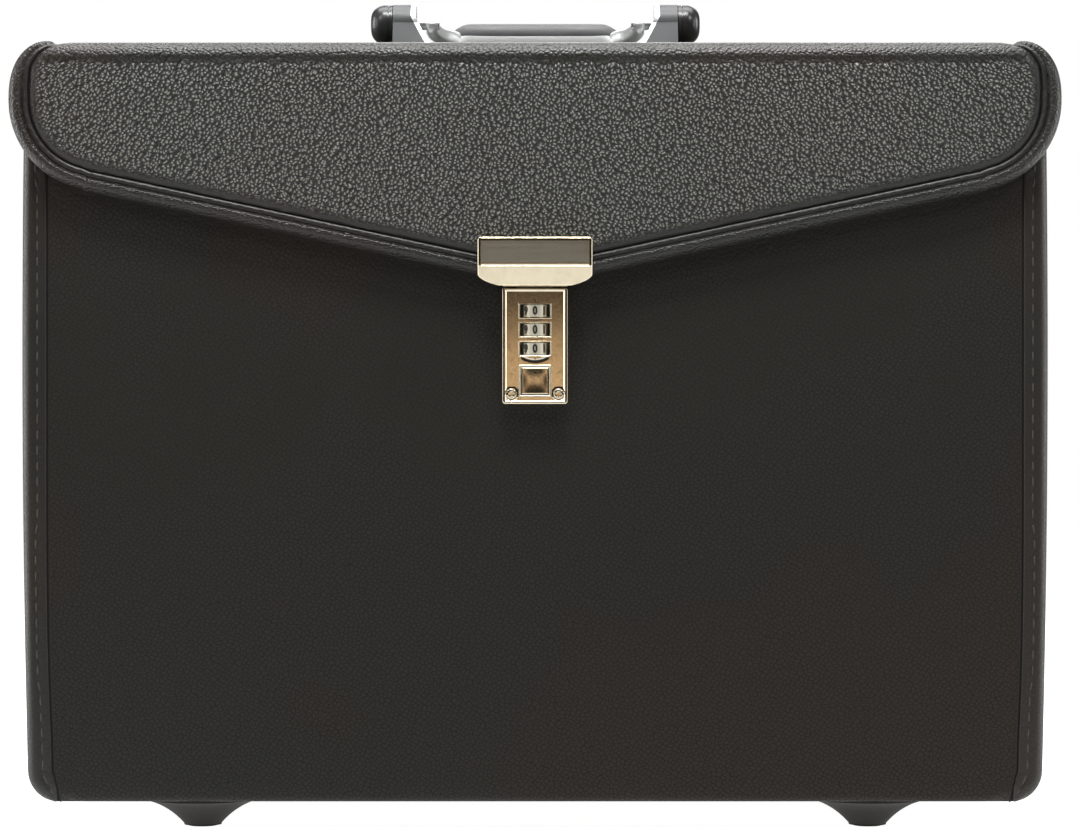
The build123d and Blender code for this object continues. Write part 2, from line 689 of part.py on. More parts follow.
def lock():
    """Everything of the combination lock that is on the body."""
    backplate = block(
        -BACKPLATE_HALF_WIDTH, BACKPLATE_HALF_WIDTH,
        front(-BODY_SKIN), front(-BODY_SKIN - BACKPLATE),
        CASE_BOTTOM - BACKPLATE_MARGIN, CASE_TOP + BACKPLATE_MARGIN)
    backplate -= block(
        -CASE_HALF_WIDTH, CASE_HALF_WIDTH, front(0), front(CASE_BACK), CASE_BOTTOM, CASE_TOP)
    for shank in screw_shanks():
        backplate -= shank
    nodes = {name: dial(z) for name, z in DIAL_HEIGHTS.items()}
    nodes["dial_spindle"] = rod_z(
        SPINDLE_RADIUS, LOWER_SHELF_Z, UPPER_SHELF_Z + SHELF, 0, front(DIAL_PROUD))
    nodes["lock_plate"] = lock_plate()
    nodes["lock_case"] = lock_case()
    nodes["lock_backplate"] = backplate
    nodes["lock_screws"] = lock_screws()
    nodes["release_button"] = release_button()
    nodes["button_spring"] = button_spring()
    nodes["latch_bolt"] = latch_bolt()
    return nodes


# ---------------------------------------------------------------- carry handle
PIVOT_Z = 371.3
PIVOT_RADIUS = 2.4
EYE_RADIUS = 5.4
EYE_X = (45.5, 51.0)
BRACKET_X = (58.7, 67.2)      # flat part of the bracket, near its top
BRACKET_CROWN = 9.5
BRACKET_HALF_DEPTH = 15.0
BRACKET_FLARE_X = 43.0
TRIM = 2.3
CAP_X = (67.5, 77.8)
CAP_RADIUS = 9.4
BOW_DROP_DEG = 7.0            # the folded bow hangs this far below level
BOW_REACH = 35.0
BOW_CORNER = 13.0
BOW_SECTION = (7.0, 8.6)
GRIP_HALF_LENGTH = 41.0
GRIP_SECTION = (12.5, 17.0)
INSERT_DEPTH = 1.2
BRACKET_SCREW_Y = 9.5
BRACKET_SCREW_GRIP = 6.0      # how far the screws reach up into a bracket
SCREW_SHANK = 1.6


def bracket_flank(shift):
    """Front view of a bracket whose inner flank is moved inward by shift."""
    inner, outer = BRACKET_X
    crown = PIVOT_Z + BRACKET_CROWN
    top = (inner - shift, PIVOT_Z + 3.0)
    middle = (inner - 6.3 - shift, PIVOT_Z - 9.0)
    bottom = (BRACKET_FLARE_X + 3.0 - shift * 1.8, LID_TOP)
    outline = Polyline(bottom, (outer, LID_TOP), (outer, crown), (inner - shift, crown), top)
    return make_face(outline + ThreePointArc(top, middle, bottom))


def bracket_side():
    """Side view of a bracket: a round crown on a spreading base."""
    half = BRACKET_HALF_DEPTH
    points = [
        (MID_Y - half, LID_TOP), (MID_Y + half, LID_TOP), (MID_Y + half, LID_TOP + 3),
        (MID_Y + BRACKET_CROWN, PIVOT_Z), (MID_Y - BRACKET_CROWN, PIVOT_Z),
        (MID_Y - half, LID_TOP + 3),
    ]
    base = make_face(Polyline(*points, close=True))
    return base + Pos(MID_Y, PIVOT_Z) * Circle(BRACKET_CROWN)


def bracket_pieces():
    """The right bracket and the bright trim that lines its inner flank."""
    depth = 2 * BRACKET_HALF_DEPTH
    profile = along_x(bracket_side(), 0, CAP_X[1])
    y0 = MID_Y - depth / 2
    body = along_y(bracket_flank(0), y0, y0 + depth) & profile
    outer = along_y(bracket_flank(TRIM), y0, y0 + depth) & profile
    trim = outer - body
    pin = pivot_pin()
    for screw in bracket_screws():
        body -= screw
    return body - pin, trim - pin


def bracket_screws():
    """Two screws from under the lid up into the right bracket."""
    x = sum(BRACKET_X) / 2
    high = LID_TOP + BRACKET_SCREW_GRIP
    offsets = (-BRACKET_SCREW_Y, BRACKET_SCREW_Y)
    return [rod_z(SCREW_SHANK, LID_UNDERSIDE, high, x, MID_Y + y) for y in offsets]


def pivot_pin():
    """The right pivot pin, from the bow's eye through the bracket to the cap."""
    return rod_x(PIVOT_RADIUS, EYE_X[0], CAP_X[0] + 4, MID_Y, PIVOT_Z)


def pivot_cap():
    """The right end cap: a dome with a ring groove near its inner side."""
    inner, outer = CAP_X
    cap = rod_x(CAP_RADIUS, inner, outer, MID_Y, PIVOT_Z)
    rim = cap.edges().sort_by(Axis.X)[-1]
    cap = fillet(rim, 6.5)
    groove = rod_x(CAP_RADIUS + 1, inner + 1.6, inner + 2.2, MID_Y, PIVOT_Z)
    groove -= rod_x(CAP_RADIUS - 0.6, inner, outer, MID_Y, PIVOT_Z)
    return cap - groove - pivot_pin()


def bow_frame():
    """Places the handle's flat drawing at the pivot, folded towards the back."""
    return Pos(0, MID_Y, PIVOT_Z) * Rot(-BOW_DROP_DEG, 0, 0)


def bow():
    """The metal bow: two eyes on the pins, two arms and the bar between them."""
    x = sum(EYE_X) / 2
    path = FilletPolyline((-x, 0), (-x, BOW_REACH), (x, BOW_REACH), (x, 0), radius=BOW_CORNER)
    width, height = BOW_SECTION
    start = Plane(origin=(-x, 0, 0), x_dir=(1, 0, 0), z_dir=(0, 1, 0))
    solid = sweep(start * Ellipse(width / 2, height / 2), path=path)
    for side in (-1, 1):
        solid += rod_x(EYE_RADIUS, side * EYE_X[0], side * EYE_X[1], 0, 0)
    for side in (-1, 1):
        solid -= block(side * EYE_X[1], side * (EYE_X[1] + 3), -EYE_RADIUS, EYE_RADIUS + 3, -6, 6)
        solid -= rod_x(PIVOT_RADIUS + RUNNING, side * 40, side * 60, 0, 0)
    return solid


def grip_shape():
    """The moulded grip round the bar, and the soft insert along its upper front."""
    width, height = GRIP_SECTION
    outline = Rectangle(width, height)
    outline = fillet(outline.vertices(), width / 2 - 0.4)
    grip = along_x(Pos(BOW_REACH, 0) * outline, -GRIP_HALF_LENGTH, GRIP_HALF_LENGTH)
    upper = block(
        -GRIP_HALF_LENGTH + 1, GRIP_HALF_LENGTH - 1, 0, BOW_REACH, 1.0, height)
    inner = fillet(Rectangle(width - 2 * INSERT_DEPTH, height - 2 * INSERT_DEPTH).vertices(),
                   width / 2 - INSERT_DEPTH - 0.4)
    core = along_x(Pos(BOW_REACH, 0) * inner, -GRIP_HALF_LENGTH, GRIP_HALF_LENGTH)
    insert = (grip & upper) - core
    return grip - insert, insert


def handle():
    """Carry handle: bow, grip, insert, brackets, trims, pins, caps and plate."""
    frame = bow_frame()
    bow_solid = bow()
    grip, insert = grip_shape()
    bracket, trim = bracket_pieces()
    cap = pivot_cap()
    pin = pivot_pin()
    screws = bracket_screws()
    plate_low = LID_UNDERSIDE + LID_LINING + LID_BOARD
    plate_x = BRACKET_X[1] + 6
    plate = block(-plate_x, plate_x, MID_Y - 16, MID_Y + 16, plate_low, plate_low + 1.5)
    for screw in screws:
        plate = plate - screw - mirrored(screw)
    return {
        "handle_bow": frame * bow_solid,
        "handle_grip": frame * (grip - bow_solid),
        "grip_insert": frame * insert,
        "handle_bracket_right": bracket,
        "handle_bracket_left": mirrored(bracket),
        "bracket_trim_right": trim,
        "bracket_trim_left": mirrored(trim),
        "handle_cap_right": cap,
        "handle_cap_left": mirrored(cap),
        "pivot_pins": group([pin, mirrored(pin)]),
        "bracket_screws": group(screws + [mirrored(screw) for screw in screws]),
        "handle_backing_plate": plate,
    }


# ---------------------------------------------------------------- the whole case
def lid_parts(handle_nodes):
    """The lid's layers, cut for the handle's plate and screws, rivets and hasp."""
    nodes = lid_covering()
    screws = handle_nodes["bracket_screws"].solids()
    plate = handle_nodes["handle_backing_plate"]
    for name in ("lid_leather", "lid_padding", "lid_board", "lid_lining"):
        for screw in screws:
            nodes[name] -= screw
    nodes["lid_padding"] -= plate
    rivets = hinge_rivets(LID_LEAF_RIVET_Z)
    for name in ("lid_leather", "lid_padding", "lid_board"):
        for rivet in rivets:
            nodes[name] -= rivet
    recess = hasp_recess()
    for name in ("lid_leather", "lid_edge_band", "lid_lining", "flap_board", "flap_padding"):
        nodes[name] -= recess
    return nodes


def main():
    os.makedirs("parts", exist_ok=True)
    nodes = {}
    nodes.update(body_boards())
    nodes.update(body_leather())
    nodes["rim_binding"] = rim_binding()
    nodes["body_lining"] = body_lining()
    nodes["floor_pad"] = floor_pad()
    nodes.update(feet())
    nodes.update(hinge())
    nodes.update(lock())
    nodes.update(hasp())
    handle_nodes = handle()
    nodes.update(lid_parts(handle_nodes))
    nodes.update(handle_nodes)
    for name, shape in nodes.items():
        save(name, shape)


main()
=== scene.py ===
"""Looks of the leather briefcase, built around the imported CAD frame.

Lengths inside this script are millimetres until a mesh is made; "proud" is the
distance in front of the body's front face, as in the CAD. The leathers, boards,
linings, screws, digits and most of the hasp, lock and handle are modelled here
and replace plain CAD solids; the other CAD nodes keep their shape and get
better materials.
"""

import json
import math

import bpy
import numpy as np
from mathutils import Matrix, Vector


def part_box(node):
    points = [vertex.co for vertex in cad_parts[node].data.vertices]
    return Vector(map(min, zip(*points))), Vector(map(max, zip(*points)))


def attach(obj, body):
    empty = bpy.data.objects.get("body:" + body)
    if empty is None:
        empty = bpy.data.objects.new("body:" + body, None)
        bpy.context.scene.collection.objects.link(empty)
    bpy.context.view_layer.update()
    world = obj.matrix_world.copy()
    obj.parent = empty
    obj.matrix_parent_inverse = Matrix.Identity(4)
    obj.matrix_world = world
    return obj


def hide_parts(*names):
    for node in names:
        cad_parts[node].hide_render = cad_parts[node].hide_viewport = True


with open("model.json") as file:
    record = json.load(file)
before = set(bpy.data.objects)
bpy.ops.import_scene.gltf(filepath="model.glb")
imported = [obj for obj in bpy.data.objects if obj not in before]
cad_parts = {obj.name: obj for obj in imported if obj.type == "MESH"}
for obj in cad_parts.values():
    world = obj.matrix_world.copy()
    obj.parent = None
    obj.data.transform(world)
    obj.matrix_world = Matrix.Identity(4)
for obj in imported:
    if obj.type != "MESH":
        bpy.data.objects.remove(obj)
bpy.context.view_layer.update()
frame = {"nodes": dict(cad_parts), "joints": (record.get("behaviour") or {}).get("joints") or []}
MM = 0.001


# ------------------------------------------------------------ sizes from the frame
def node_box(name):
    """Lowest and highest corner of a CAD node, in millimetres."""
    low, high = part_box(name)
    return np.array(low) / MM, np.array(high) / MM


def joint_place(name):
    """Where a hinge's axis is, in millimetres."""
    joint = next(j for j in frame["joints"] if j["name"] == name)
    return np.array(joint["pos_m"]) / MM


body_low, body_high = node_box("body_leather")
rim_low, rim_high = node_box("rim_binding")
lid_low, lid_high = node_box("lid_edge_band")
lock_low, lock_high = node_box("lock_plate")
hasp_low, hasp_high = node_box("hasp_plate")
FRONT = body_low[1]
BACK = body_high[1]
BODY_BOTTOM = body_low[2]
RIM_TOP = rim_high[2]
RIM_LOW = rim_low[2]
BODY_HALF = node_box("side_leather_right")[1][0]
LID_TOP = node_box("lid_leather")[1][2]
LID_HALF = lid_high[0]
FLAP_PROUD = FRONT - lid_low[1]
SKIN = 1.2                    # thickness of the body's leather panels
EDGE_SEGMENTS = 2             # of the small rounding on a cut board or a CAD node
EDGE_ANGLE = 30               # degrees between faces above which an edge is rounded
BACK_GRAIN = 700              # shifts the back's grain, so that it doesn't repeat the front's


# ------------------------------------------------------------ mesh helpers
def make_mesh(name, verts, faces):
    """A mesh object from points in millimetres."""
    mesh = bpy.data.meshes.new(name)
    mesh.from_pydata([tuple(c * MM for c in v) for v in verts], [], faces)
    mesh.update()
    obj = bpy.data.objects.new(name, mesh)
    bpy.context.scene.collection.objects.link(obj)
    return obj


def grid_faces(rows, columns, closed=False):
    """Quads of a grid of points stored row by row."""
    faces = []
    last = columns if closed else columns - 1
    for r in range(rows - 1):
        for c in range(last):
            d = (c + 1) % columns
            a = r * columns
            faces.append((a + c, a + d, a + columns + d, a + columns + c))
    return faces


class Patch:
    """A grid of surface points with each point's place in the leather.

    points is rows x columns x 3; hide holds, for each point, where it lies in
    the hide (two lengths) and how far the leather is stretched smooth there;
    above 1 it is a cut edge, painted black. hole(x, y, z) leaves out faces.
    """

    def __init__(self, points, hide=None, flip=False, closed=False, hole=None):
        self.points = np.asarray(points, float)
        self.hole = hole
        rows, columns = self.points.shape[:2]
        self.hide = np.zeros((rows, columns, 3)) if hide is None else np.asarray(hide, float)
        self.flip = flip
        self.closed = closed

    def mirrored(self):
        """The same patch on the other side of the briefcase."""
        flipped = self.points * (-1, 1, 1)
        return Patch(flipped, self.hide + (400, 0, 0), not self.flip, self.closed)


def patches_object(name, patches):
    """One object from several patches."""
    verts, faces, hides = [], [], []
    for patch in patches:
        rows, columns = patch.points.shape[:2]
        start = len(verts)
        flat = patch.points.reshape(-1, 3)
        for face in grid_faces(rows, columns, patch.closed):
            middle = flat[list(face)].mean(axis=0)
            if patch.hole and patch.hole(*middle):
                continue
            if patch.flip:
                face = face[::-1]
            faces.append(tuple(start + i for i in face))
        verts.extend(patch.points.reshape(-1, 3))
        hides.append(patch.hide.reshape(-1, 3))
    obj = make_mesh(name, verts, faces)
    store = obj.data.attributes.new("hide", "FLOAT_VECTOR", "POINT")
    store.data.foreach_set("vector", np.concatenate(hides).astype(np.float32).ravel())
    return obj


def both_sides(patch):
    return [patch, patch.mirrored()]


def smooth(obj, angle):
    """Smooth shading with creases sharper than the angle kept."""
    mesh = obj.data
    mesh.polygons.foreach_set("use_smooth", [True] * len(mesh.polygons))
    mesh.set_sharp_from_angle(angle=math.radians(angle))


def thicken(obj, thickness):
    """Gives a panel its thickness, inward from the surface that was drawn."""
    mod = obj.modifiers.new("skin", "SOLIDIFY")
    mod.thickness = thickness * MM
    mod.offset = -1


def soften_edges(obj, width):
    """Rounds the sharp edges of a CAD node; its own points stay where they are."""
    merge = obj.modifiers.new("merge", "WELD")
    merge.merge_threshold = 0.002 * MM
    mod = obj.modifiers.new("edges", "BEVEL")
    mod.width = width * MM
    mod.segments = EDGE_SEGMENTS
    mod.limit_method = "ANGLE"
    mod.angle_limit = math.radians(EDGE_ANGLE)
    mod.use_clamp_overlap = True
    even = obj.modifiers.new("even", "WEIGHTED_NORMAL")
    even.keep_sharp = False


def place(obj, body, material, stands_for=()):
    """Gives a new piece its material, body and the nodes it replaces."""
    obj.data.materials.clear()
    obj.data.materials.append(material)
    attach(obj, body)
    if stands_for:
        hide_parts(*stands_for)


def new_piece(name, patches, angle, body, material, stands_for=(), thickness=None):
    """A new piece from its patches, thickened if it is a panel, smoothed and placed."""
    obj = patches_object(name, patches)
    if thickness:
        thicken(obj, thickness)
    smooth(obj, angle)
    place(obj, body, material, stands_for)
    return obj


def ease(t):
    """Smooth step from 0 to 1."""
    t = np.clip(t, 0.0, 1.0)
    return t * t * (3 - 2 * t)


def run_along(points):
    """Length along a line of points, at each of them."""
    steps = np.linalg.norm(np.diff(points, axis=0), axis=1)
    return np.concatenate([[0], np.cumsum(steps)])


def respaced(points, step):
    """The same line with evenly spaced points."""
    points = np.asarray(points, float)
    run = run_along(points)
    count = int(run[-1] / step) + 1
    wanted = np.linspace(0, run[-1], count)
    return np.stack([np.interp(wanted, run, points[:, i]) for i in range(points.shape[1])], axis=1)


# ------------------------------------------------------------ materials
MIX_COLOURS = (6, 7)          # the Mix node's two colour inputs
MIX_RESULT = 2                # and its colour output


class Nodes:
    """A material and short ways to add linked nodes to it."""

    def __init__(self, name):
        self.material = bpy.data.materials.new(name)
        self.material.use_nodes = True
        self.tree = self.material.node_tree
        self.shader = self.tree.nodes["Principled BSDF"]
        self.place = self.add("ShaderNodeTexCoord").outputs["Object"]

    def add(self, kind, **settings):
        node = self.tree.nodes.new(kind)
        for key, value in settings.items():
            setattr(node, key, value)
        return node

    def feed(self, node, socket, value):
        """Sets an input from a number, a colour or another node's output."""
        if hasattr(value, "is_output"):
            self.tree.links.new(value, node.inputs[socket])
        else:
            node.inputs[socket].default_value = value

    def noise(self, scale, detail, rough, vector=None):
        node = self.add("ShaderNodeTexNoise")
        self.feed(node, "Vector", vector or self.place)
        self.feed(node, "Scale", scale)
        self.feed(node, "Detail", detail)
        self.feed(node, "Roughness", rough)
        return node.outputs["Fac"]

    def math(self, kind, first, second=0.0):
        node = self.add("ShaderNodeMath", operation=kind)
        self.feed(node, 0, first)
        self.feed(node, 1, second)
        return node.outputs[0]

    def remap(self, value, low, high, to_low=0.0, to_high=1.0):
        """A smooth step from to_low at low to to_high at high."""
        node = self.add("ShaderNodeMapRange", interpolation_type="SMOOTHSTEP")
        sockets = ("Value", "From Min", "From Max", "To Min", "To Max")
        for socket, number in zip(sockets, (value, low, high, to_low, to_high)):
            self.feed(node, socket, number)
        return node.outputs["Result"]

    def mix(self, factor, first, second):
        node = self.add("ShaderNodeMix", data_type="RGBA")
        self.feed(node, "Factor", factor)
        for socket, value in zip(MIX_COLOURS, (first, second)):
            self.feed(node, socket, (*value, 1) if isinstance(value, tuple) else value)
        return node.outputs[MIX_RESULT]

    def stretched(self, scale):
        """The object's coordinates, scaled differently along each axis."""
        node = self.add("ShaderNodeMapping")
        self.feed(node, "Vector", self.place)
        node.inputs["Scale"].default_value = scale
        return node.outputs["Vector"]

    def bump(self, height, strength, distance):
        node = self.add("ShaderNodeBump")
        for socket, value in (("Height", height), ("Strength", strength), ("Distance", distance)):
            self.feed(node, socket, value)
        return node.outputs["Normal"]

    def out(self, colour, rough, normal=None, **plain):
        """Connects the shader's inputs; plain ones are set on the socket itself."""
        self.feed(self.shader, "Base Color", colour)
        self.feed(self.shader, "Roughness", rough)
        if normal:
            self.feed(self.shader, "Normal", normal)
        for key, value in plain.items():
            socket = key.replace("_", " ").title().replace("Ior", "IOR")
            self.shader.inputs[socket].default_value = value
        return self.material


def leather(name, tone, depth, rough, shine, grain=2.05, painted_glint=0.0):
    """Black leather with a pebbled grain: round domes between fine creases, with painted shade in the
    creases and, when asked for, a painted highlight on the domes.

    grain is the pebbles' spacing in millimetres, depth their height in metres.
    """
    m = Nodes(name)
    hide = m.add("ShaderNodeAttribute", attribute_name="hide")
    parts = m.add("ShaderNodeSeparateXYZ")
    m.tree.links.new(hide.outputs["Vector"], parts.inputs[0])
    turned = m.add("ShaderNodeMapping")
    flat = m.add("ShaderNodeCombineXYZ")
    m.feed(flat, "X", parts.outputs["X"])
    m.feed(flat, "Y", m.math("MULTIPLY", parts.outputs["Y"], 1.15))
    m.tree.links.new(flat.outputs["Vector"], turned.inputs["Vector"])
    turned.inputs["Rotation"].default_value = (0, 0, 0.6)
    drift = m.add("ShaderNodeTexNoise")
    m.feed(drift, "Vector", turned.outputs["Vector"])
    m.feed(drift, "Scale", 0.16)
    m.feed(drift, "Detail", 1.0)
    warp = m.add("ShaderNodeVectorMath", operation="MULTIPLY_ADD")
    m.tree.links.new(drift.outputs["Color"], warp.inputs[0])
    warp.inputs[1].default_value = (3.0, 3.0, 0.0)
    m.tree.links.new(turned.outputs["Vector"], warp.inputs[2])
    where = warp.outputs["Vector"]
    smoothness = m.math("MINIMUM", parts.outputs["Z"], 1.0)
    painted = m.remap(parts.outputs["Z"], 1.1, 1.6)
    middle = m.add("ShaderNodeTexVoronoi", feature="F1", voronoi_dimensions="2D")
    edge = m.add("ShaderNodeTexVoronoi", feature="DISTANCE_TO_EDGE", voronoi_dimensions="2D")
    for node in (middle, edge):
        m.feed(node, "Vector", where)
        m.feed(node, "Scale", 1 / grain)
        m.feed(node, "Randomness", 0.80)
    away = m.math("MULTIPLY", middle.outputs["Distance"], middle.outputs["Distance"])
    dome = m.math("SUBTRACT", 1.0, m.math("MULTIPLY", away, 3.4))
    crease = m.remap(edge.outputs["Distance"], 0.0, 0.16)
    fine = m.noise(2.2 / grain, 3.0, 0.6, where)
    height = m.math("ADD", dome, m.math("MULTIPLY", fine, 0.10))
    relief = m.math("SUBTRACT", 1.0, m.math("MULTIPLY", smoothness, 0.86))
    normal = m.bump(m.math("MULTIPLY", height, relief), 1.0, depth)
    broad = m.noise(16.0, 3.0, 0.55)
    tint = m.noise(7.0, 2.0, 0.5)
    # the first colour below is painted shade for the creases between the pebbles; light and brown are
    # the leather's own tones
    crease_shade = tuple(c * tone for c in (0.0030, 0.0030, 0.0026))
    light = tuple(c * tone for c in (0.0125, 0.0120, 0.0092))
    brown = tuple(c * tone for c in (0.0165, 0.0118, 0.0082))
    top = m.mix(m.remap(tint, 0.45, 0.62), light, brown)
    # painted shade: the creases take the darkest colour, less so where the leather is stretched smooth
    open_crease = m.math("MAXIMUM", crease, m.math("MULTIPLY", smoothness, 0.8))
    colour = m.mix(open_crease, crease_shade, top)
    # painted highlight: a pale dot on the top of each pebble's dome stands in for the glint of the
    # lamps on it; the last argument sets how strong it is
    glint_mask = m.remap(middle.outputs["Distance"], 0.34, 0.10)
    glint_mask = m.math("MULTIPLY", glint_mask, m.math("SUBTRACT", 1.0, smoothness))
    glint_mask = m.math("MULTIPLY", glint_mask, painted_glint)
    colour = m.mix(glint_mask, colour, (0.30, 0.30, 0.255))
    colour = m.mix(painted, colour, (0.0015, 0.0015, 0.0015))
    shade = m.remap(broad, 0.3, 0.7, rough - 0.04, rough + 0.06)
    shade = m.math("ADD", shade, m.math("MULTIPLY", painted, 0.25))
    gap = m.math("MULTIPLY", m.math("SUBTRACT", 1.0, open_crease), 0.3)
    shade = m.math("ADD", shade, gap)
    return m.out(colour, shade, normal, specular_ior_level=shine)


def metal(name, colour, rough, wear, tarnish, brushed=(1, 1, 1), bump=0.0):
    """Plated or painted metal with faint brushing, marks and tarnish."""
    m = Nodes(name)
    lines = m.noise(900.0, 3.0, 0.6, m.stretched(brushed))
    marks = m.noise(160.0, 4.0, 0.6)
    shade = m.remap(lines, 0.3, 0.7, rough - wear / 2, rough + wear / 2)
    shade = m.math("ADD", shade, m.remap(marks, 0.55, 0.75, 0.0, wear))
    dull = tuple(c * tarnish for c in colour)
    tone = m.mix(m.remap(marks, 0.35, 0.75), colour, dull)
    normal = m.bump(lines, bump, 0.00005) if bump else None
    return m.out(tone, shade, normal, metallic=1.0)


def plastic(name, colour, rough, grain=0.0, scale=1800.0):
    """Moulded plastic or rubber, with a fine moulded texture."""
    m = Nodes(name)
    speck = m.noise(scale, 2.0, 0.5)
    cloud = m.noise(60.0, 3.0, 0.5)
    tone = m.mix(m.remap(cloud, 0.3, 0.7), colour, tuple(c * 1.25 for c in colour))
    shade = m.remap(cloud, 0.3, 0.7, rough - 0.04, rough + 0.05)
    normal = m.bump(speck, grain, 0.0001) if grain else None
    return m.out(tone, shade, normal)


def cloth(name, colour, pitch=0.0009):
    """Woven lining cloth: crossing threads in all three directions."""
    m = Nodes(name)
    turns = math.tau / pitch
    parts = m.add("ShaderNodeSeparateXYZ")
    m.tree.links.new(m.place, parts.inputs[0])
    waves = [m.math("SINE", m.math("MULTIPLY", parts.outputs[i], turns)) for i in range(3)]
    weave = m.math("MULTIPLY", m.math("ADD", waves[0], waves[1]), waves[2])
    weave = m.math("ADD", weave, m.math("MULTIPLY", waves[0], waves[1]))
    fuzz = m.noise(1200.0, 2.0, 0.6)
    height = m.math("ADD", weave, fuzz)
    tone = m.mix(m.remap(height, -1.5, 2.5), tuple(c * 0.55 for c in colour), colour)
    normal = m.bump(height, 0.5, 0.00008)
    return m.out(tone, 0.85, normal, sheen_weight=0.25, sheen_roughness=0.5)


def fibreboard(name):
    """Raw pressed board, seen only where a panel's edge is open."""
    m = Nodes(name)
    fibre = m.noise(700.0, 4.0, 0.7, m.stretched((1, 1, 0.25)))
    tone = m.mix(m.remap(fibre, 0.3, 0.7), (0.20, 0.13, 0.075), (0.34, 0.24, 0.14))
    return m.out(tone, 0.9, m.bump(fibre, 0.4, 0.0001))


def thread(name, colour):
    """Twisted sewing thread."""
    m = Nodes(name)
    twist = m.noise(2500.0, 2.0, 0.6, m.stretched((1, 1, 0.3)))
    tone = m.mix(m.remap(twist, 0.3, 0.7), tuple(c * 0.6 for c in colour), colour)
    return m.out(tone, 0.6, m.bump(twist, 0.5, 0.0001))


def ink(name):
    """Filled enamel of the digits and marks."""
    m = Nodes(name)
    cloud = m.noise(900.0, 2.0, 0.5)
    tone = m.mix(cloud, (0.012, 0.011, 0.010), (0.022, 0.020, 0.018))
    return m.out(tone, m.remap(cloud, 0.3, 0.7, 0.32, 0.42))


# the flap's leather carries the painted highlights on its pebbles
LEATHER_FLAP = leather("leather_flap", tone=0.9, grain=1.85, depth=0.00044, rough=0.33,
                       shine=0.40, painted_glint=0.60)
LEATHER_BODY = leather("leather_body", tone=1.1, depth=0.00007, rough=0.50, shine=0.21)
LEATHER_SIDE = leather("leather_side", tone=1.0, grain=2.3, depth=0.00010, rough=0.40, shine=0.34)
LEATHER_TRIM = leather("leather_trim", tone=0.9, grain=1.7, depth=0.00020, rough=0.34, shine=0.45)
THREAD_LIGHT = thread("thread_taupe", (0.042, 0.034, 0.028))
THREAD_DARK = thread("thread_black", (0.022, 0.021, 0.019))
GOLD = metal("pale_gold_plate", (0.69, 0.61, 0.455), 0.11, wear=0.05, tarnish=0.88)
GOLD_SATIN = metal("pale_gold_satin", (0.52, 0.48, 0.40), 0.34, 0.03, 0.92, (0.06, 1, 1), 0.02)
STEEL = metal("zinc_plated_steel", (0.55, 0.56, 0.57), 0.34, wear=0.1, tarnish=0.75)
NICKEL = metal("nickel_plate", (0.36, 0.35, 0.32), 0.36, 0.08, 0.85, (0.05, 1, 1), 0.1)
DIAL_BRASS = metal("dial_brass", (0.86, 0.80, 0.66), 0.42, wear=0.06, tarnish=0.92)
SILVER = metal("silver_satin", (0.74, 0.75, 0.75), 0.42, wear=0.06, tarnish=0.92)
BRACKET_GREY = plastic("bracket_grey", (0.052, 0.054, 0.056), 0.46, 0.05)
GLOSS_BLACK = plastic("gloss_black", (0.018, 0.018, 0.0185), 0.32)
MATTE_BLACK = plastic("moulded_black", (0.006, 0.0045, 0.003), 0.80, 0.25, 900.0)
INSERT_GREY = plastic("insert_grey", (0.055, 0.055, 0.058), 0.48, 0.2, 1200.0)
PAD_RUBBER = plastic("pad_rubber", (0.02, 0.02, 0.02), 0.8, 0.4, 700.0)
LINING_CLOTH = cloth("lining_cloth", (0.030, 0.031, 0.036))
PAD_CLOTH = cloth("pad_cloth", (0.045, 0.045, 0.050), 0.0014)
BOARD = fibreboard("fibreboard")
INK = ink("black_enamel")


# ------------------------------------------------------------ edge cross-sections
def edge_section(inset, radius, depth, wall_end, back=None):
    """A cross-section of a rounded edge, from the front face round to the wall.

    Each row is (distance inward, proud, outward part of the normal, proud part
    of the normal, length). inset is how far inward the front part begins and
    depth how proud the front is. back = (radius, lap) turns the wall's end
    inward again, over a lap.
    """
    rows = []
    for inward in np.linspace(inset, radius, 12)[:-1]:
        rows.append((inward, depth, 0.0, 1.0))
    for t in np.linspace(0, math.pi / 2, 13):
        rows.append((radius * (1 - math.sin(t)), depth - radius * (1 - math.cos(t)),
                     math.sin(t), math.cos(t)))
    wall_start = depth - radius
    back_radius, lap = back if back else (0.0, 0.0)
    length = max(wall_start - wall_end - back_radius, 0.01)
    for along in np.linspace(0, length, 24)[1:]:
        rows.append((0.0, wall_start - along, 1.0, 0.0))
    if back:
        for t in np.linspace(0, math.pi / 2, 9)[1:]:
            rows.append((back_radius * (1 - math.cos(t)),
                         wall_end + back_radius * (1 - math.sin(t)), math.cos(t), -math.sin(t)))
        for inward in np.linspace(back_radius, lap, 8)[1:]:
            rows.append((inward, wall_end, 0.0, -1.0))
    rows = np.array(rows)
    return np.column_stack([rows, run_along(rows[:, :2])])


def length_at_inset(inset, inward, radius):
    """Length along a section where it is this far inward of the outline."""
    if inward >= radius:
        return inset - inward
    turn = math.asin(1 - max(inward, 0.0) / radius)
    return inset - radius + radius * turn


def cut_section(rows, start, stop, spread):
    """The part of a section between two lengths, spread giving the spacing."""
    wanted = start + spread * (stop - start)
    cut = np.column_stack([np.interp(wanted, rows[:, 4], rows[:, i]) for i in range(4)])
    size = np.hypot(cut[:, 2], cut[:, 3])
    cut[:, 2] /= size
    cut[:, 3] /= size
    return np.column_stack([cut, wanted])


def lifted(rows, height):
    """A section's points moved along their normals."""
    out = rows.copy()
    out[:, 0] -= height * rows[:, 2]
    out[:, 1] += height * rows[:, 3]
    return out


def swept(point, normal, rows):
    """A section's points in space, at one station of an outline."""
    x = point[0] - normal[0] * rows[:, 0]
    z = point[1] - normal[1] * rows[:, 0]
    y = FRONT - rows[:, 1]
    return np.stack([x, y, z], axis=1)


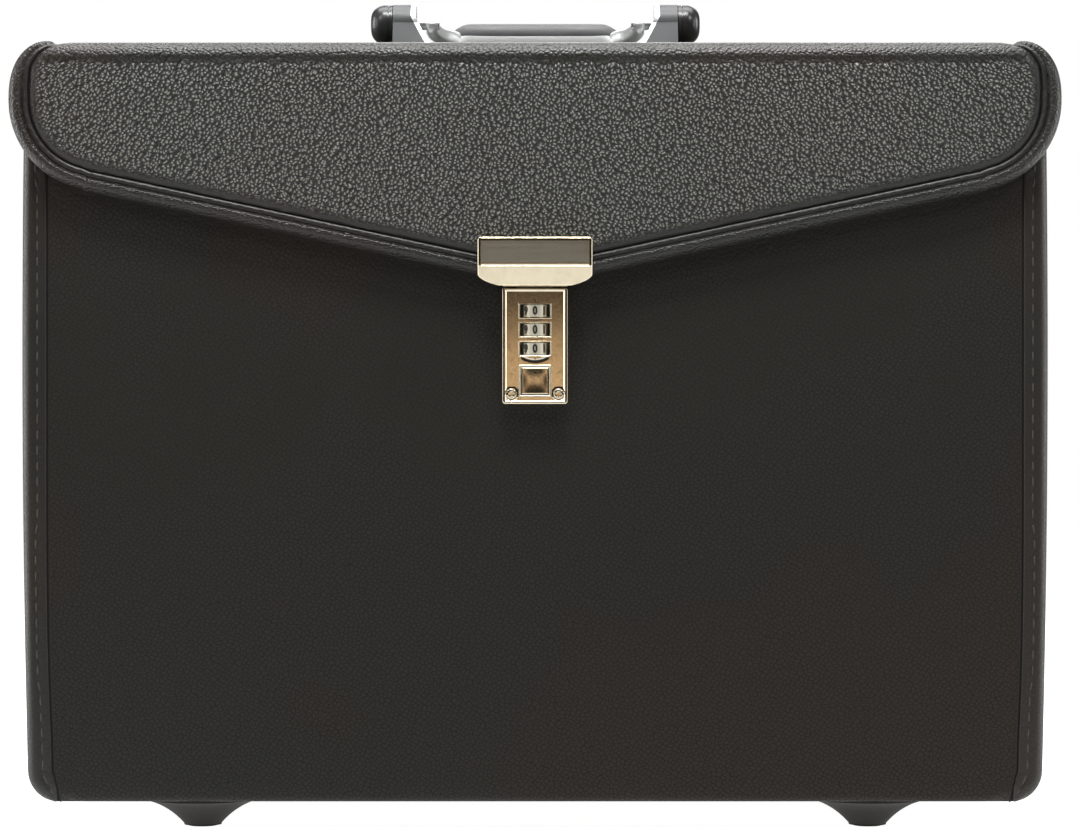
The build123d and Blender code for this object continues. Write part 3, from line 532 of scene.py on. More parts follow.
def outward(points):
    """Unit normals of an outline that runs clockwise seen from the front."""
    step = np.gradient(points, axis=0)
    normal = np.stack([-step[:, 1], step[:, 0]], axis=1)
    return normal / np.linalg.norm(normal, axis=1)[:, None]


def seam_inset(outline, curve):
    """How far inward of each outline point a seam curve runs."""
    gaps = np.linalg.norm(outline[None, :, :] - curve[:, None, :], axis=2)
    nearest = gaps.argmin(axis=1)
    order = np.argsort(nearest, kind="stable")
    index = np.arange(len(outline))
    return np.interp(index, nearest[order], gaps.min(axis=1)[order])


# ------------------------------------------------------------ lid leather
TOP_SEAM_X = 211.0            # where the seam runs back along the top of the lid
SHOULDER = (18.4, 26.0)       # half axes of the lid's rounded upper corners
SHOULDER_POWER = 2.5
FLAP_SLOPE = 0.214
FLAP_TIP_Z = 243.5
FLAP_CORNER = 40.0
TIP_ROUND = 16.0
BAND = 9.6                    # width of the lid's edge band on the flap
FLAP_ROUND = 4.6
TOP_BEND = 8.5
REAR_BEND = 5.0
BEND_STARTS_Z = 335.0         # from here up the band's seam curves in over the bend
LIP_Z = 322.0
LIP_INSIDE = 4.0
FLAP_BACK = 0.62
STATION_STEP = 1.7
CORNER_X = LID_HALF - FLAP_CORNER
CORNER_TILT = math.atan(FLAP_SLOPE)
CORNER_Z = FLAP_TIP_Z + FLAP_SLOPE * CORNER_X + FLAP_CORNER / math.cos(CORNER_TILT)


def lid_outline():
    """Right half of the lid's outline from the top seam to the flap's tip."""
    a, b = SHOULDER
    centre_x, centre_z = LID_HALF - a, LID_TOP - b
    points = [(TOP_SEAM_X, LID_TOP)]
    for t in np.linspace(0, math.pi / 2, 60):
        x = centre_x + a * math.sin(t) ** (2 / SHOULDER_POWER)
        z = centre_z + b * math.cos(t) ** (2 / SHOULDER_POWER)
        points.append((x, z))
    for t in np.linspace(0, math.pi / 2 - CORNER_TILT, 60)[1:]:
        points.append((CORNER_X + FLAP_CORNER * math.cos(t), CORNER_Z - FLAP_CORNER * math.sin(t)))
    blunt = TIP_ROUND * FLAP_SLOPE
    for x in np.linspace(points[-1][0], 0, 200)[1:]:
        points.append((x, FLAP_TIP_Z + FLAP_SLOPE * (math.hypot(x, blunt) - blunt)))
    points = respaced(points, STATION_STEP)
    normal = outward(points)
    normal[-1] = (0, -1)
    return points, normal


def lid_seam_curve(points, normal):
    """The seam inside the band: beside the edge, then curving in over the bend."""
    seam_x = LID_HALF - BAND
    rise = LID_TOP - BEND_STARTS_Z
    reach = seam_x - TOP_SEAM_X
    upper = [(TOP_SEAM_X + reach * math.cos(t), BEND_STARTS_Z + rise * math.sin(t))
             for t in np.linspace(math.pi / 2, 0, 60)]
    beside = [p - n * BAND for p, n in zip(points, normal) if p[1] < BEND_STARTS_Z - 6]
    return np.array(upper + beside)


def band_lift(length):
    """Relief of the edge band: a groove, a stitched ridge, a groove, the roll."""
    seam = -1.6 * np.exp(-(length / 0.8) ** 2)
    ridge = -0.75 * (1 - ease((length - 2.9) / 1.6))
    groove = -0.85 * np.exp(-((length - 3.5) / 0.55) ** 2)
    roll = 0.65 * np.exp(-((length - 6.2) / 2.2) ** 2)
    return seam + ridge + groove + roll


def lid_band_patches():
    """The leather band round the flap and up the lid's sides, right half."""
    points, normal = lid_outline()
    curve = lid_seam_curve(points, normal)
    inset = np.minimum(seam_inset(points, curve), BAND)
    inset[0] = 0.0
    run = run_along(points)
    bend = 1 - ease((LID_TOP - points[:, 1]) / 24.0)
    radius = FLAP_ROUND + (TOP_BEND - FLAP_ROUND) * bend
    spread = np.linspace(0, 1, 44)
    front, front_hide, ends, seam = [], [], [], []
    for p, n, r, inward, at in zip(points, normal, radius, inset, run):
        rows = edge_section(BAND, r, FLAP_PROUD, FLAP_BACK)
        start = length_at_inset(BAND, inward, r)
        cut = cut_section(rows, start, rows[-1, 4], spread)
        seam.append(swept(p, n, cut[:1])[0])
        across = cut[:, 4] - start
        front.append(swept(p, n, lifted(cut, band_lift(across))))
        smoothness = np.clip(1.15 - across / 6.0, 0.25, 1.0) + (across < 0.7)
        front_hide.append([(at, cut[i, 4], smoothness[i]) for i in range(len(cut))])
        ends.append((across[-1], cut[-1, 4]))
    seam = np.array(seam)
    side_count = int(np.argmax(points[:, 1] < LIP_Z)) + 1
    side, side_hide = [], []
    wall = list(np.linspace(FRONT - FLAP_BACK, BACK - REAR_BEND, 34))
    for i in range(side_count):
        p, n = points[i], normal[i]
        line, hide = [], []
        for y in wall:
            blend = ease((y - wall[0]) / 12.0)
            across = ends[i][0] + (run[i] - ends[i][0]) * blend
            lift = float(band_lift(across)) if run[i] < 40 else 0.0
            line.append((p[0] + n[0] * lift, y, p[1] + n[1] * lift))
            hide.append((run[i], ends[i][1] + y - wall[0], 0.2))
        for t in np.linspace(0, math.pi / 2, 7)[1:]:
            inward = REAR_BEND * (1 - math.cos(t)) - lift * math.cos(t)
            line.append((p[0] - n[0] * inward, BACK - REAR_BEND * (1 - math.sin(t)),
                         p[1] - n[1] * inward))
            hide.append((run[i], ends[i][1] + wall[-1] - wall[0] + REAR_BEND * t, 0.4))
        side.append(line)
        side_hide.append(hide)
    patches = both_sides(Patch(front, front_hide, flip=True))
    patches += both_sides(Patch(side, side_hide, flip=True))
    patches += both_sides(flap_back_lap(points, normal))
    patches += both_sides(lip_roll())
    return patches, seam


def flap_back_lap(points, normal):
    """The band's turned-in lap on the back of the flap."""
    rows, hide = [], []
    for p, n in zip(points, normal):
        if p[1] >= LIP_Z + 1:
            continue
        line = []
        for inward, proud in ((0.0, FLAP_BACK), (0.25, FLAP_BACK - 0.2), (1.4, 0.34), (6.5, 0.34)):
            line.append((p[0] - n[0] * inward, FRONT - proud, p[1] - n[1] * inward))
        rows.append(line)
        hide.append([(p[0], p[1] + i, 0.5) for i in range(len(line))])
    return Patch(rows, hide, flip=True)


def lip_roll():
    """The lower edge of the lid's side, rolled inward."""
    outer = LID_HALF - 0.2
    inner = LID_HALF - LIP_INSIDE - 0.1
    profile = [(outer, LIP_Z + 0.9), (outer - 0.1, LIP_Z), (outer - 0.6, LIP_Z - 1.1),
               (outer - 1.8, LIP_Z - 1.7), (inner + 0.8, LIP_Z - 1.0), (inner, LIP_Z + 0.3),
               (inner, LIP_Z + 11)]
    rows, hide = [], []
    for y in np.linspace(FRONT - FLAP_BACK + 0.5, BACK - 1.2, 24):
        rows.append([(x, y, z) for x, z in profile])
        hide.append([(y, i * 1.5, 0.5) for i in range(len(profile))])
    return Patch(rows, hide, flip=False)


def panel_padding(distance):
    """Padding of a panel: sunk at its seams, full a little way in."""
    return -1.8 * np.exp(-(distance / 1.8) ** 1.2) + 0.8 * ease(distance / 28.0)


def distance_to(curve, x, z):
    return float(np.min(np.hypot(curve[:, 0] - abs(x), curve[:, 1] - z)))


def build_lid():
    """Edge band and the one big padded panel of the lid."""
    patches, seam = lid_band_patches()
    new_piece("lid_edge_band_leather", patches, 65,
              "lid", LEATHER_TRIM, ["lid_edge_band"], thickness=1.0)

    plan = seam[:, [0, 2]]
    turn = int(np.argmax(seam[:, 2] < CORNER_Z + 6))
    lower = seam[turn:]
    upper = seam[:turn + 1][::-1]
    side_x, start_z = upper[0, 0], upper[0, 2]
    columns = np.sin(np.linspace(-math.pi / 2, math.pi / 2, 141))
    rows, hide = [], []
    for v in 1 - np.cos(np.linspace(0, math.pi / 2, 52))[:-1]:
        line, marks = [], []
        for u in columns:
            x = u * side_x
            low = np.interp(abs(x), lower[::-1, 0], lower[::-1, 2])
            z = low + v * (start_z - low)
            distance = distance_to(plan, x, z)
            line.append((x, FRONT - FLAP_PROUD - panel_padding(distance), z))
            marks.append((x, z, 1 - ease((distance - 2.0) / 3.5) + (distance < 0.7)))
        rows.append(line)
        hide.append(marks)
    prouds = (FRONT - upper[:, 1] - FLAP_PROUD + TOP_BEND) / TOP_BEND
    tilts = np.arccos(np.clip(prouds, -1, 1))
    flat_rows = int(np.argmax(tilts > 1e-3))
    bend_low = LID_TOP - TOP_BEND
    for index, (edge_x, edge_y, edge_z) in enumerate(upper):
        tilt = float(tilts[index])
        if index < flat_rows:
            tilt = 0.0
            bend_z = start_z + (bend_low - start_z) * index / flat_rows
        else:
            bend_z = bend_low + TOP_BEND * math.sin(tilt)
        line, marks = [], []
        for u in columns:
            x = u * edge_x
            share = ease((abs(x) / edge_x - 0.86) / 0.14)
            z = bend_z + (edge_z - bend_z) * share
            fade = 1 - ease((z - 322) / 24.0)
            crease = -0.35 * math.exp(-((z - 343.6) / 1.6) ** 2)
            across = edge_x - abs(x)
            lift = panel_padding(across) + crease
            lift -= 0.8 * ease(across / 28.0) * (1 - fade)
            line.append((x, edge_y - lift * math.cos(tilt), z + lift * math.sin(tilt)))
            near_seam = 1 - ease((across - 2.0) / 3.5) + (across < 0.7)
            near_bend = 0.86 * ease((z - 340.8) / 1.4)
            marks.append((x, bend_z + TOP_BEND * (tilt - math.sin(tilt)), max(near_seam, near_bend)))
        rows.append(line)
        hide.append(marks)
    along = hide[-1][70][1]
    for y in np.linspace(seam[0, 1], BACK - REAR_BEND, 44)[1:]:
        rows.append([(u * TOP_SEAM_X, y, LID_TOP + top_lift(u)) for u in columns])
        hide.append([(u * TOP_SEAM_X, along + y - seam[0, 1], 0.35) for u in columns])
    for t in np.linspace(0, math.pi / 2, 7)[1:]:
        line = []
        for u in columns:
            r = REAR_BEND + top_lift(u)
            line.append((u * TOP_SEAM_X, BACK - REAR_BEND + r * math.sin(t),
                         LID_TOP - REAR_BEND + r * math.cos(t)))
        rows.append(line)
        hide.append([(x, along + BACK - FRONT + REAR_BEND * t, 0.5) for x, _, _ in line])
    rows.append([(x, y, RIM_TOP + 1.2) for x, y, _ in rows[-1]])
    hide.append([(x, v + 6, s) for x, v, s in hide[-1]])
    replaced = ["lid_leather", "lid_padding", "flap_padding"]
    panel = new_piece("lid_leather_panel", [Patch(rows, hide)], 70,
                      "lid", LEATHER_FLAP, replaced, thickness=1.0)


def top_lift(u):
    """Relief of the lid's top: level, sunk towards the seams at both sides."""
    from_seam = TOP_SEAM_X * (1 - abs(u))
    return -1.8 * math.exp(-(from_seam / 1.8) ** 1.2) + 0.3 * ease(from_seam / 60.0)


# ------------------------------------------------------------ body leather
BODY_CORNER = 14.0
BODY_ROUND = 4.5
LAP = 10.6                    # width of the side leather's lap on the front
LAP_STITCH = 4.7              # from the lap's edge to its stitches
SEAM_HIGH_X = 217.0
SEAM_LOW_X = 212.7
FULLEST_Z = 215.0
FULLNESS = 6.9e-5             # how fast the sides fall away from the fullest height
SEAM_FALL_Z = 200.0           # height below which the lap's edge bends in


def half_width(z):
    """Half width of the body: slightly barrel-shaped."""
    return BODY_HALF + 0.5 - FULLNESS * (z - FULLEST_Z) ** 2


def body_outline():
    """Right half of the body's outline, from the bottom seam up to the rim."""
    centre_z = BODY_BOTTOM + BODY_CORNER
    centre_x = half_width(centre_z) - BODY_CORNER
    points = [(SEAM_LOW_X - 1.0, BODY_BOTTOM)]
    for t in np.linspace(0, math.pi / 2, 40):
        points.append((centre_x + BODY_CORNER * math.sin(t), centre_z - BODY_CORNER * math.cos(t)))
    points = [p for p in points if p[0] >= points[0][0]]
    for z in np.linspace(centre_z, RIM_LOW + 2, 120)[1:]:
        points.append((half_width(z), z))
    points = respaced(points, 2.2)
    return points, -outward(points)


def body_seam_curve():
    """The lap's edge on the front, bending in a little towards the bottom."""
    points = []
    for z in np.linspace(BODY_BOTTOM, RIM_LOW + 2, 200):
        drop = max(SEAM_FALL_Z - z, 0.0) / (SEAM_FALL_Z - BODY_BOTTOM)
        points.append((SEAM_HIGH_X - (SEAM_HIGH_X - SEAM_LOW_X) * drop ** 4, z))
    return np.array(points)


def lap_lift(length):
    """The side leather stands one thickness above the front where it laps over."""
    edge = 0.9 * ease(length / 0.8) - 0.35
    pull = -0.35 * np.exp(-((length - LAP_STITCH) / 0.6) ** 2)
    settle = -0.45 * ease((length - 7.0) / 4.0)
    return edge + pull + settle


def build_body():
    """Side leathers with their laps, and the wrap over front, bottom and back."""
    points, normal = body_outline()
    inset = np.minimum(seam_inset(points, body_seam_curve()), LAP + 1)
    inset[0] = 0.0
    run = run_along(points)
    depth = BACK - FRONT
    front_part = np.linspace(0, 0.09, 24)
    spread = np.concatenate([front_part, np.linspace(0.09, 0.91, 26)[1:-1], 1 - front_part[::-1]])
    rows, hide, seam, stitches = [], [], [], []
    for p, n, inward, at in zip(points, normal, inset, run):
        section = edge_section(LAP + 1, BODY_ROUND, 0.0, -depth, (BODY_ROUND, LAP + 1))
        start = length_at_inset(LAP + 1, inward, BODY_ROUND)
        stop = section[-1, 4] - start
        cut = cut_section(section, start, stop, spread)
        seam.append(swept(p, n, cut[:1])[0])
        across = np.minimum(cut[:, 4] - start, stop - cut[:, 4])
        raised = lifted(cut, lap_lift(across))
        rows.append(swept(p, n, raised))
        smoothness = 0.75 - 0.35 * ease((across - 8) / 8) + (across < 0.6)
        hide.append([(cut[i, 4], at, smoothness[i]) for i in range(len(cut))])
        at_stitch = np.argmin(abs(across[:len(across) // 2] - LAP_STITCH))
        stitches.append(np.concatenate([rows[-1][at_stitch], [-n[0], 0, -n[1]]]))
    seam = np.array(seam)
    right = Patch(rows, hide, flip=False)
    for side, patch in (("right", right), ("left", right.mirrored())):
        new_piece(f"side_leather_{side}_panel", [patch], 70,
                  "case", LEATHER_SIDE, [f"side_leather_{side}"],
                  thickness=SKIN)
    build_wrap(seam)
    build_body_stitches(np.array(stitches))


def wrap_lift(x, z):
    """Slight fullness and waviness of the front leather."""
    wave = 0.16 * math.sin(x / 37.0 + 1.3) * math.sin(z / 29.0)
    wave += 0.10 * math.sin(x / 19.0 - z / 23.0)
    inside = min(ease((BODY_HALF - 12 - abs(x)) / 50.0), ease((z - BODY_BOTTOM - 5) / 60.0))
    return inside * (wave - 0.15)


def bent_under(seam):
    """The seam's points with the bend's tilt, closely spaced round the bottom's bend."""
    tilts = np.arccos(np.clip((FRONT - seam[:, 1] + BODY_ROUND) / BODY_ROUND, -1, 1))
    flat = int(np.argmax(tilts > 1e-3))
    stations = [(0.0, point) for point in seam[:flat]]
    for tilt in np.linspace(0, math.pi / 2, 9)[1:]:
        x, z = (float(np.interp(tilt, tilts[flat - 1:], seam[flat - 1:, i])) for i in (0, 2))
        stations.append((float(tilt), (x, FRONT + BODY_ROUND * (1 - math.cos(tilt)), z)))
    return stations


def build_wrap(seam):
    """The wrap: down the front, under the bottom and up the back."""
    columns = np.sin(np.linspace(-math.pi / 2, math.pi / 2, 97))
    tuck = 1.5                # how far the wrap runs on under the lap
    front, hide = [], []
    for tilt, (edge_x, edge_y, edge_z) in bent_under(seam[::-1]):
        low = BODY_BOTTOM + BODY_ROUND * (1 - math.sin(tilt))
        along = edge_z if tilt == 0 else BODY_BOTTOM + BODY_ROUND * (1 - tilt)
        line, marks = [], []
        for u in columns:
            x = u * (edge_x + tuck)
            share = ease((abs(u) - 0.94) / 0.06) if tilt > 0 else 1.0
            z = low + (edge_z - low) * share
            line.append((x, edge_y - wrap_lift(x, z) * (tilt == 0), z))
            under_lap = 1.3 * (abs(x) > edge_x - 0.9)
            marks.append((x, along, 0.25 + under_lap))
        front.append(line)
        hide.append(marks)
    last = front[-1]
    first_y, last_y = last[0][1], BACK + FRONT - last[0][1]
    under = [[(x, y, z) for x, _, z in last] for y in np.linspace(first_y, last_y, 26)[1:-1]]
    back = [[(x, BACK + FRONT - y, z) for x, y, z in line] for line in front[::-1]]
    under_hide = [[(x, hide[-1][0][1] - line[0][1] + first_y, 0.25) for x, _, _ in line]
                  for line in under]
    back_hide = [[(x + BACK_GRAIN, v, s) for x, v, s in line] for line in hide[::-1]]
    opening_half, opening_low, opening_high = 10, lock_low[2] + 14, lock_high[2] - 4

    def lock_opening(x, y, z):
        return abs(x) < opening_half and y < 0 and opening_low < z < opening_high

    wrap = Patch(front + under + back, hide + under_hide + back_hide, flip=True, hole=lock_opening)
    new_piece("body_leather_wrap", [wrap], 70,
              "case", LEATHER_BODY, ["body_leather"], thickness=SKIN)


# ------------------------------------------------------------ stitches
def stitch(start, end, up, radius, lift):
    """Points and faces of one stitch: a thread that rises out and dives back in."""
    start, end, up = (np.array(v, float) for v in (start, end, up))
    along = end - start
    side = np.cross(along / np.linalg.norm(along), up)
    rings, sides = 9, 6
    verts = []
    for i in range(rings):
        t = i / (rings - 1)
        bow = math.sin(math.pi * t) ** 0.6
        centre = start + along * t + up * (lift * bow - 0.25)
        r = radius * (0.4 + 0.6 * bow)
        for k in range(sides):
            a = math.tau * k / sides
            verts.append(centre + side * r * math.cos(a) + up * r * math.sin(a))
    faces = grid_faces(rings, sides, closed=True)
    faces.append(tuple(range(sides))[::-1])
    faces.append(tuple(range((rings - 1) * sides, rings * sides)))
    return verts, faces


def stitch_line(name, path, ups, body, material, length, pitch, radius, lift=0.34):
    """Stitches of even length along a path, as one object."""
    path, ups = np.asarray(path, float), np.asarray(ups, float)
    run = run_along(path)
    verts, faces = [], []
    at = 2.0

    def along(table, where):
        return np.array([np.interp(where, run, table[:, i]) for i in range(3)])

    while at + length < run[-1]:
        up = along(ups, at + length / 2)
        up /= np.linalg.norm(up)
        more, quads = stitch(along(path, at), along(path, at + length), up, radius, lift)
        faces.extend([tuple(len(verts) + i for i in face) for face in quads])
        verts.extend(more)
        at += pitch
    obj = make_mesh(name, verts, faces)
    smooth(obj, 80)
    place(obj, body, material)


def build_body_stitches(line):
    """Light stitches that hold the side leathers' laps on the front and the back."""
    for side, label in ((1, "right"), (-1, "left")):
        for where, mirror_y in (("front", False), ("back", True)):
            path = line[:, :3] * (side, 1, 1)
            ups = np.tile((0.0, -1.0, 0.0), (len(path), 1))
            if mirror_y:
                path[:, 1] = BACK + FRONT - path[:, 1]
                ups *= -1
            stitch_line(f"stitches_{where}_{label}", path, ups, "case", THREAD_LIGHT,
                        length=4.4, pitch=7.0, radius=0.46)


def build_lid_stitches():
    """Dark stitches along the ridge of the lid's edge band."""
    points, normal = lid_outline()
    inward = BAND - 1.9
    half = [(p[0] - n[0] * inward, FRONT - FLAP_PROUD + 0.72, p[1] - n[1] * inward)
            for p, n in zip(points, normal) if p[1] < BEND_STARTS_Z - 2]
    half = np.array([p for p in half if p[0] > hasp_high[0] + 2])
    ups = np.tile((0.0, -1.0, 0.0), (len(half), 1))
    for side, label in ((1, "right"), (-1, "left")):
        stitch_line(f"stitches_flap_{label}", half * (side, 1, 1), ups, "lid", THREAD_DARK,
                    length=3.6, pitch=4.8, radius=0.32, lift=0.2)


# ------------------------------------------------------------ rim
def build_rim():
    """Rounded leather binding over the body's rim."""
    outer = rim_high[0] - 0.02
    front, back = rim_low[1] + 0.02, rim_high[1] - 0.02
    inner_gap = rim_wall()
    profile = []
    top = RIM_TOP - 0.02
    half = inner_gap / 2
    for inward, z in ((0.0, RIM_LOW), (0.0, RIM_LOW + 0.5), (0.12, RIM_LOW + 1.0)):
        profile.append((inward, z))
    for z in np.linspace(RIM_LOW + 2, top - half, 6):
        profile.append((0.12, z))
    for t in np.linspace(math.pi, 0, 13)[1:-1]:
        profile.append((half + (half - 0.12) * math.cos(t), top - half + half * math.sin(t)))
    for z in np.linspace(top - half, RIM_LOW + 1, 6):
        profile.append((inner_gap - 0.12, z))
    profile.append((inner_gap, RIM_LOW))
    corner = 4.6
    loop = []
    for cx, cy, first in ((outer - corner, front + corner, -90),
                          (outer - corner, back - corner, 0),
                          (-outer + corner, back - corner, 90),
                          (-outer + corner, front + corner, 180)):
        for turn in np.linspace(first, first + 90, 9):
            a = math.radians(turn)
            loop.append((cx, cy, math.cos(a), math.sin(a), corner))
    rows, hide = [], []
    at = 0.0
    previous = None
    for cx, cy, nx, ny, r in loop:
        place_now = np.array([cx + r * nx, cy + r * ny])
        if previous is not None:
            at += float(np.linalg.norm(place_now - previous))
        previous = place_now
        line = []
        for inward, z in profile:
            reach = r - inward
            line.append((cx + reach * nx, cy + reach * ny, z))
        rows.append(line)
        hide.append([(at, i * 2.0, 0.6) for i in range(len(line))])
    rows.append(rows[0])
    hide.append([(at, i * 2.0, 0.6) for i in range(len(rows[0]))])
    new_piece("rim_binding_leather", [Patch(rows, hide, flip=True)], 60,
              "case", LEATHER_TRIM, ["rim_binding"], thickness=0.9)


def rim_wall():
    """Thickness of the binding over the rim, from the CAD's lining inside it."""
    lining_low, _ = node_box("body_lining")
    return lining_low[1] - rim_low[1] + 2.0


# ------------------------------------------------------------ linings and pad
def rounded_loop(half, near, far, corner, step):
    """A closed rectangle in x and y with rounded corners, as points and normals."""
    loop = []
    for cx, cy, first in ((half - corner, near + corner, -90), (half - corner, far - corner, 0),
                          (corner - half, far - corner, 90), (corner - half, near + corner, 180)):
        for turn in np.radians(np.linspace(first, first + 90, 9)):
            loop.append((cx + corner * math.cos(turn), cy + corner * math.sin(turn)))
    loop = respaced(np.array(loop + loop[:1]), step)
    return loop, -outward(loop)


def build_body_lining():
    """Cloth lining: a folded hem under the rim, slack walls and a rounded floor."""
    low, high = node_box("body_lining")
    top, floor = high[2], low[2] + 1.0
    loop, normal = rounded_loop(high[0] - 0.1, low[1] + 0.1, high[1] - 0.1, 5.0, 4.0)
    middle = np.array([0.0, (low[1] + high[1]) / 2])
    profile = [(0.3, top), (0.95, top - 0.4), (1.15, top - 1.2), (1.15, top - 7.0),
               (0.95, top - 7.6), (1.2, top - 8.4), (1.05, top - 10.5), (0.75, top - 11.0)]
    profile += [(0.75, z) for z in np.linspace(top - 14, floor + 6, 60)]
    profile += [(0.75 + 5 * (1 - math.cos(t)), floor + 5 - 5 * math.sin(t))
                for t in np.linspace(0.2, math.pi / 2, 7)]
    rows = []
    for inward, z in profile:
        slack = 0.5 * ease((top - 14 - z) / 30) * ease((z - floor - 6) / 30)
        line = []
        for (x, y), n in zip(loop, normal):
            wave = (1 + 0.6 * math.sin(x / 23 + z / 51) * math.cos(y / 19)
                    + 0.4 * math.sin(z / 33 - x / 41))
            x, y = np.array([x, y]) - n * (inward + slack * wave)
            line.append((x, y, z))
        rows.append(line)
    for share in (0.9, 0.5, 0.0):
        rows.append([(*(middle + (np.array([x, y]) - middle) * share), floor)
                     for x, y, _ in rows[-1]])
    new_piece("body_lining_cloth", [Patch(rows)], 60,
              "case", LINING_CLOTH, ["body_lining"], thickness=0.6)
    path = [(x - n[0] * 1.2, y - n[1] * 1.2, top - 5.0) for (x, y), n in zip(loop, normal)]
    ups = [(-n[0], -n[1], 0.0) for n in normal]
    stitch_line("stitches_lining", path, ups, "case", THREAD_LIGHT,
                length=3.4, pitch=5.0, radius=0.3)


def build_lid_lining():
    """Cloth lining of the lid's hollow and of the flap's back."""
    points, normal = lid_outline()
    ceiling = RIM_TOP + 1.3
    inner = points - normal * 3.2
    inner[:, 1] = np.minimum(inner[:, 1], ceiling)
    side = [tuple(p) for p in inner if p[1] > LIP_Z + 1.4]
    skirt = respaced(np.array([(0.0, ceiling)] + side), 4.0)
    skirt = np.concatenate([skirt[:0:-1] * (-1, 1), skirt])
    rows = []
    for y in np.linspace(FRONT - 0.7, BACK - 1.6, 50):
        rows.append([(x, y, z + 0.18 * (1 + math.sin(x / 27 + y / 31)) * (z > ceiling - 0.1))
                     for x, z in skirt])
    hollow = Patch(rows, flip=True)
    columns = np.linspace(-1, 1, 90)
    edge = [p for p in inner if p[1] < ceiling - 0.01]
    rows = []
    for wide, z in [(edge[0][0], ceiling)] + edge:
        rows.append([(u * wide, FRONT - 0.75 - 0.12 * (1 + math.sin(u * wide / 31 + z / 17)), z)
                     for u in columns])
    back = Patch(rows, flip=False)
    new_piece("lid_lining_cloth", [hollow, back], 60,
              "lid", LINING_CLOTH, ["lid_lining"], thickness=0.4)


def build_floor_pad():
    """The quilted pad that lies on the floor of the case."""
    low, high = node_box("floor_pad")
    half, thick = high[0], high[2] - low[2]
    middle = (low[1] + high[1]) / 2
    quilt_x = [half * s / 3 for s in (-1, 1)]

    def top_at(x, y):
        edge = max(min(half - abs(x), y - low[1], high[1] - y), 0.0)
        rise = math.sqrt(1 - (1 - min(edge / 3.0, 1)) ** 2)
        groove = (sum(math.exp(-((x - q) / 1.8) ** 2) for q in quilt_x)
                  + math.exp(-((y - middle) / 1.8) ** 2))
        swell = 0.12 * math.sin(x / 11.0) * math.sin(y / 9.0) - 0.12
        return low[2] + thick * (0.3 + 0.7 * rise) - 1.0 * min(groove, 1) * rise + swell * rise

    spread = np.sin(np.linspace(-math.pi / 2, math.pi / 2, 150))
    xs = sorted([float(u * half) for u in spread]
                + [q + d for q in quilt_x for d in (-3, -1.5, 0, 1.5, 3)])
    ys = sorted([float(middle + u * (high[1] - middle)) for u in spread[::2]]
                + [middle + d for d in (-3, -1.5, 1.5, 3)])
    rows = [[(xs[0], y, low[2])] + [(x, y, top_at(x, y)) for x in xs] + [(xs[-1], y, low[2])]
            for y in ys]
    ends = [[(x, y, low[2]) for x, y, _ in rows[i]] for i in (0, -1)]
    corners = [[(x, y, low[2]) for x in (xs[0], xs[-1])] for y in (ys[0], ys[-1])]
    patches = [Patch([ends[0]] + rows + [ends[1]]), Patch(corners, flip=True)]
    obj = new_piece("floor_pad_quilted", patches, 60,
                    "case", PAD_CLOTH, ["floor_pad"])


# ------------------------------------------------------------ boards under the leather
def board(name, section, near, far, body):
    """A board cut to a section in x and z, with broken edges, from near to far."""
    count = len(section)
    verts = [(x, y, z) for y in (near, far) for x, z in section]
    faces = [face[::-1] for face in grid_faces(2, count, closed=True)]
    faces += [tuple(range(count)), tuple(range(2 * count - 1, count - 1, -1))]
    obj = make_mesh(name + "_cut", verts, faces)
    soften_edges(obj, 0.3)
    place(obj, body, BOARD, [name])


def both_halves(section):
    """The right half of a section, bottom to top, with its mirrored left half."""
    return section + [(-x, z) for x, z in section[::-1]]


UNCUT = (12.0, 0.0, 0.0)       # half width and edges of a board's opening where it has none


def plate_board(name, edge, near, far, opening):
    """An upright board between the outline's two edges; opening is (half, low, high)."""
    half, low, high = opening or UNCUT
    heights = sorted({z for _, z in edge} | ({low, high} if opening else set()))
    rows = []
    for z in heights:
        wide = float(np.interp(z, [p[1] for p in edge], [p[0] for p in edge]))
        xs = [-wide, -wide / 2, -half, 0.0, half, wide / 2, wide]
        rows.append([(x, near, z) for x in xs] + [(x, far, z) for x in xs[::-1]])
    count = len(rows[0]) // 2
    caps = [[row[:count], row[:count - 1:-1]] for row in (rows[0], rows[-1])]

    def hole(x, _, z):
        return abs(x) < half and low < z < high

    patches = [Patch(rows, closed=True, hole=hole), Patch(caps[0], flip=True), Patch(caps[1])]
    if opening:
        corners = [(-half, low), (half, low), (half, high), (-half, high)]
        patches.append(Patch([[(x, y, z) for x, z in corners] for y in (near, far)], closed=True))
    obj = patches_object(name + "_cut", patches)
    place(obj, "case", BOARD, [name])


def two_boards(name, section, near, far, body):
    """The same board on the right and, mirrored, on the left."""
    board(name + "_right", section, near, far, body)
    board(name + "_left", [(-x, z) for x, z in section[::-1]], near, far, body)


